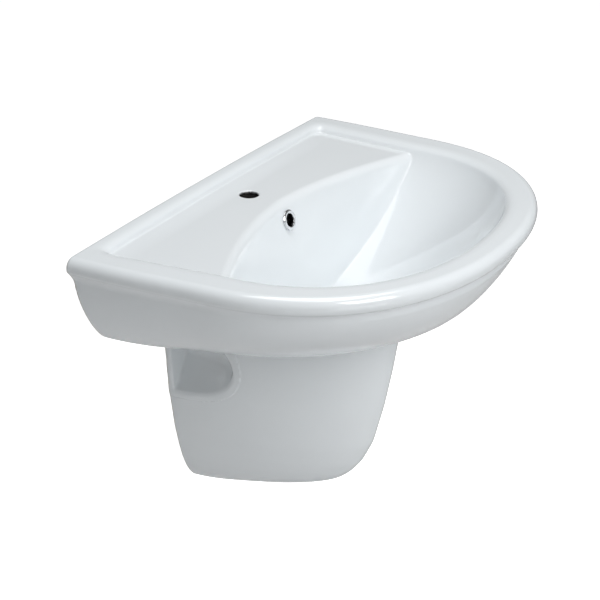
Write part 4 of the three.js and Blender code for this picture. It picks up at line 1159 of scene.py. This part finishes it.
# %% [markdown]
# ## Stage, light and camera
# The photo was taken in a white studio. Here a large soft light stands in front and above, another hangs
# over the basin, and two weak ones fill in from below and from behind. The walls are grey to the glaze and
# white to the camera, and the ground is pale paper far below the basin. The camera was solved from the
# basin's outline.

# %% Floor
FLOOR_Z = -0.785
floor_points = [(-6, -6, FLOOR_Z), (6, -6, FLOOR_Z), (6, 6, FLOOR_Z), (-6, 6, FLOOR_Z)]
floor = new_object("studio_floor", floor_points, [(0, 1, 2, 3)])
paper, nodes, links, shader = new_material("white_paper")
fibre = noise(nodes, links, 3.0, 2.0)
sheet = blend_colour(nodes, links, fibre, (0.82, 0.82, 0.82), (0.84, 0.84, 0.84))
links.new(sheet, shader.inputs["Base Color"])
shader.inputs["Roughness"].default_value = 0.9
shader.inputs["Specular IOR Level"].default_value = 0.1
shown = nodes.new("ShaderNodeLightPath")
lift = nodes.new("ShaderNodeMath")
lift.operation = "MULTIPLY"
lift.inputs[1].default_value = 0.85
links.new(shown.outputs["Is Camera Ray"], lift.inputs[0])
shader.inputs["Emission Color"].default_value = (1, 1, 1, 1)
links.new(lift.outputs[0], shader.inputs["Emission Strength"])
floor.data.materials.append(paper)

# %% Sky of the studio
world = bpy.data.worlds.new("studio")
bpy.context.scene.world = world
world.use_nodes = True
nodes, links = world.node_tree.nodes, world.node_tree.links
for node in list(nodes):
    nodes.remove(node)
where = nodes.new("ShaderNodeTexCoord")
axes = nodes.new("ShaderNodeSeparateXYZ")
links.new(where.outputs["Generated"], axes.inputs["Vector"])
ramp = nodes.new("ShaderNodeValToRGB")
height = nodes.new("ShaderNodeMapRange")
height.inputs["From Min"].default_value = -1
height.inputs["From Max"].default_value = 1
links.new(axes.outputs["Z"], height.inputs["Value"])
links.new(height.outputs["Result"], ramp.inputs["Fac"])
ramp.color_ramp.elements[0].position = 0.45
ramp.color_ramp.elements[0].color = (0.37, 0.37, 0.37, 1)
ramp.color_ramp.elements[1].position = 0.95
ramp.color_ramp.elements[1].color = (0.08, 0.08, 0.08, 1)
soft_light = nodes.new("ShaderNodeBackground")
links.new(ramp.outputs["Color"], soft_light.inputs["Color"])
soft_light.inputs["Strength"].default_value = 1.0
white = nodes.new("ShaderNodeBackground")
white.inputs["Color"].default_value = (1, 1, 1, 1)
white.inputs["Strength"].default_value = 1.0
path = nodes.new("ShaderNodeLightPath")
choose = nodes.new("ShaderNodeMixShader")
links.new(path.outputs["Is Camera Ray"], choose.inputs["Fac"])
links.new(soft_light.outputs["Background"], choose.inputs[1])
links.new(white.outputs["Background"], choose.inputs[2])
sky_out = nodes.new("ShaderNodeOutputWorld")
links.new(choose.outputs["Shader"], sky_out.inputs["Surface"])
print("sky nodes", len(nodes))

# %% Lamps
AIM = Vector((0, -0.22, -0.02))


def lamp(name, place, size, watts):
    data = bpy.data.lights.new(name, "AREA")
    data.shape = "RECTANGLE"
    data.size = size
    data.size_y = size
    data.energy = watts
    obj = bpy.data.objects.new(name, data)
    bpy.context.scene.collection.objects.link(obj)
    obj.location = place
    obj.rotation_euler = (AIM - Vector(place)).to_track_quat("-Z", "Y").to_euler()
    return obj


key = lamp("key_softbox", (-1.0, -2.3, 1.6), 1.3, 38.0)
top = lamp("top_softbox", (0.0, -0.3, 2.3), 1.6, 36.0)
low = lamp("low_softbox", (-0.9, -1.6, -0.6), 0.8, 3.0)
rear = lamp("rear_softbox", (-1.0, 2.2, 0.3), 1.2, 2.0)
print("lamps", key.data.energy, top.data.energy, low.data.energy, rear.data.energy)

# %% Camera
BACK = Vector((-0.789, -0.446, 0.423)).normalized()
RIGHT = Vector((0.4924, -0.8704, 0)).normalized()
UP = BACK.cross(RIGHT).normalized()
camera_data = bpy.data.cameras.new("camera")
camera_data.sensor_width = 36.0
camera_data.lens = 96.216
camera = bpy.data.objects.new("camera", camera_data)
bpy.context.scene.collection.objects.link(camera)
turn = Matrix((RIGHT, UP, BACK)).transposed().to_4x4()
camera.matrix_world = Matrix.Translation((-1.7176, -1.1199, 0.8375)) @ turn
bpy.context.scene.camera = camera
scene = bpy.context.scene
scene.view_settings.view_transform = "Standard"
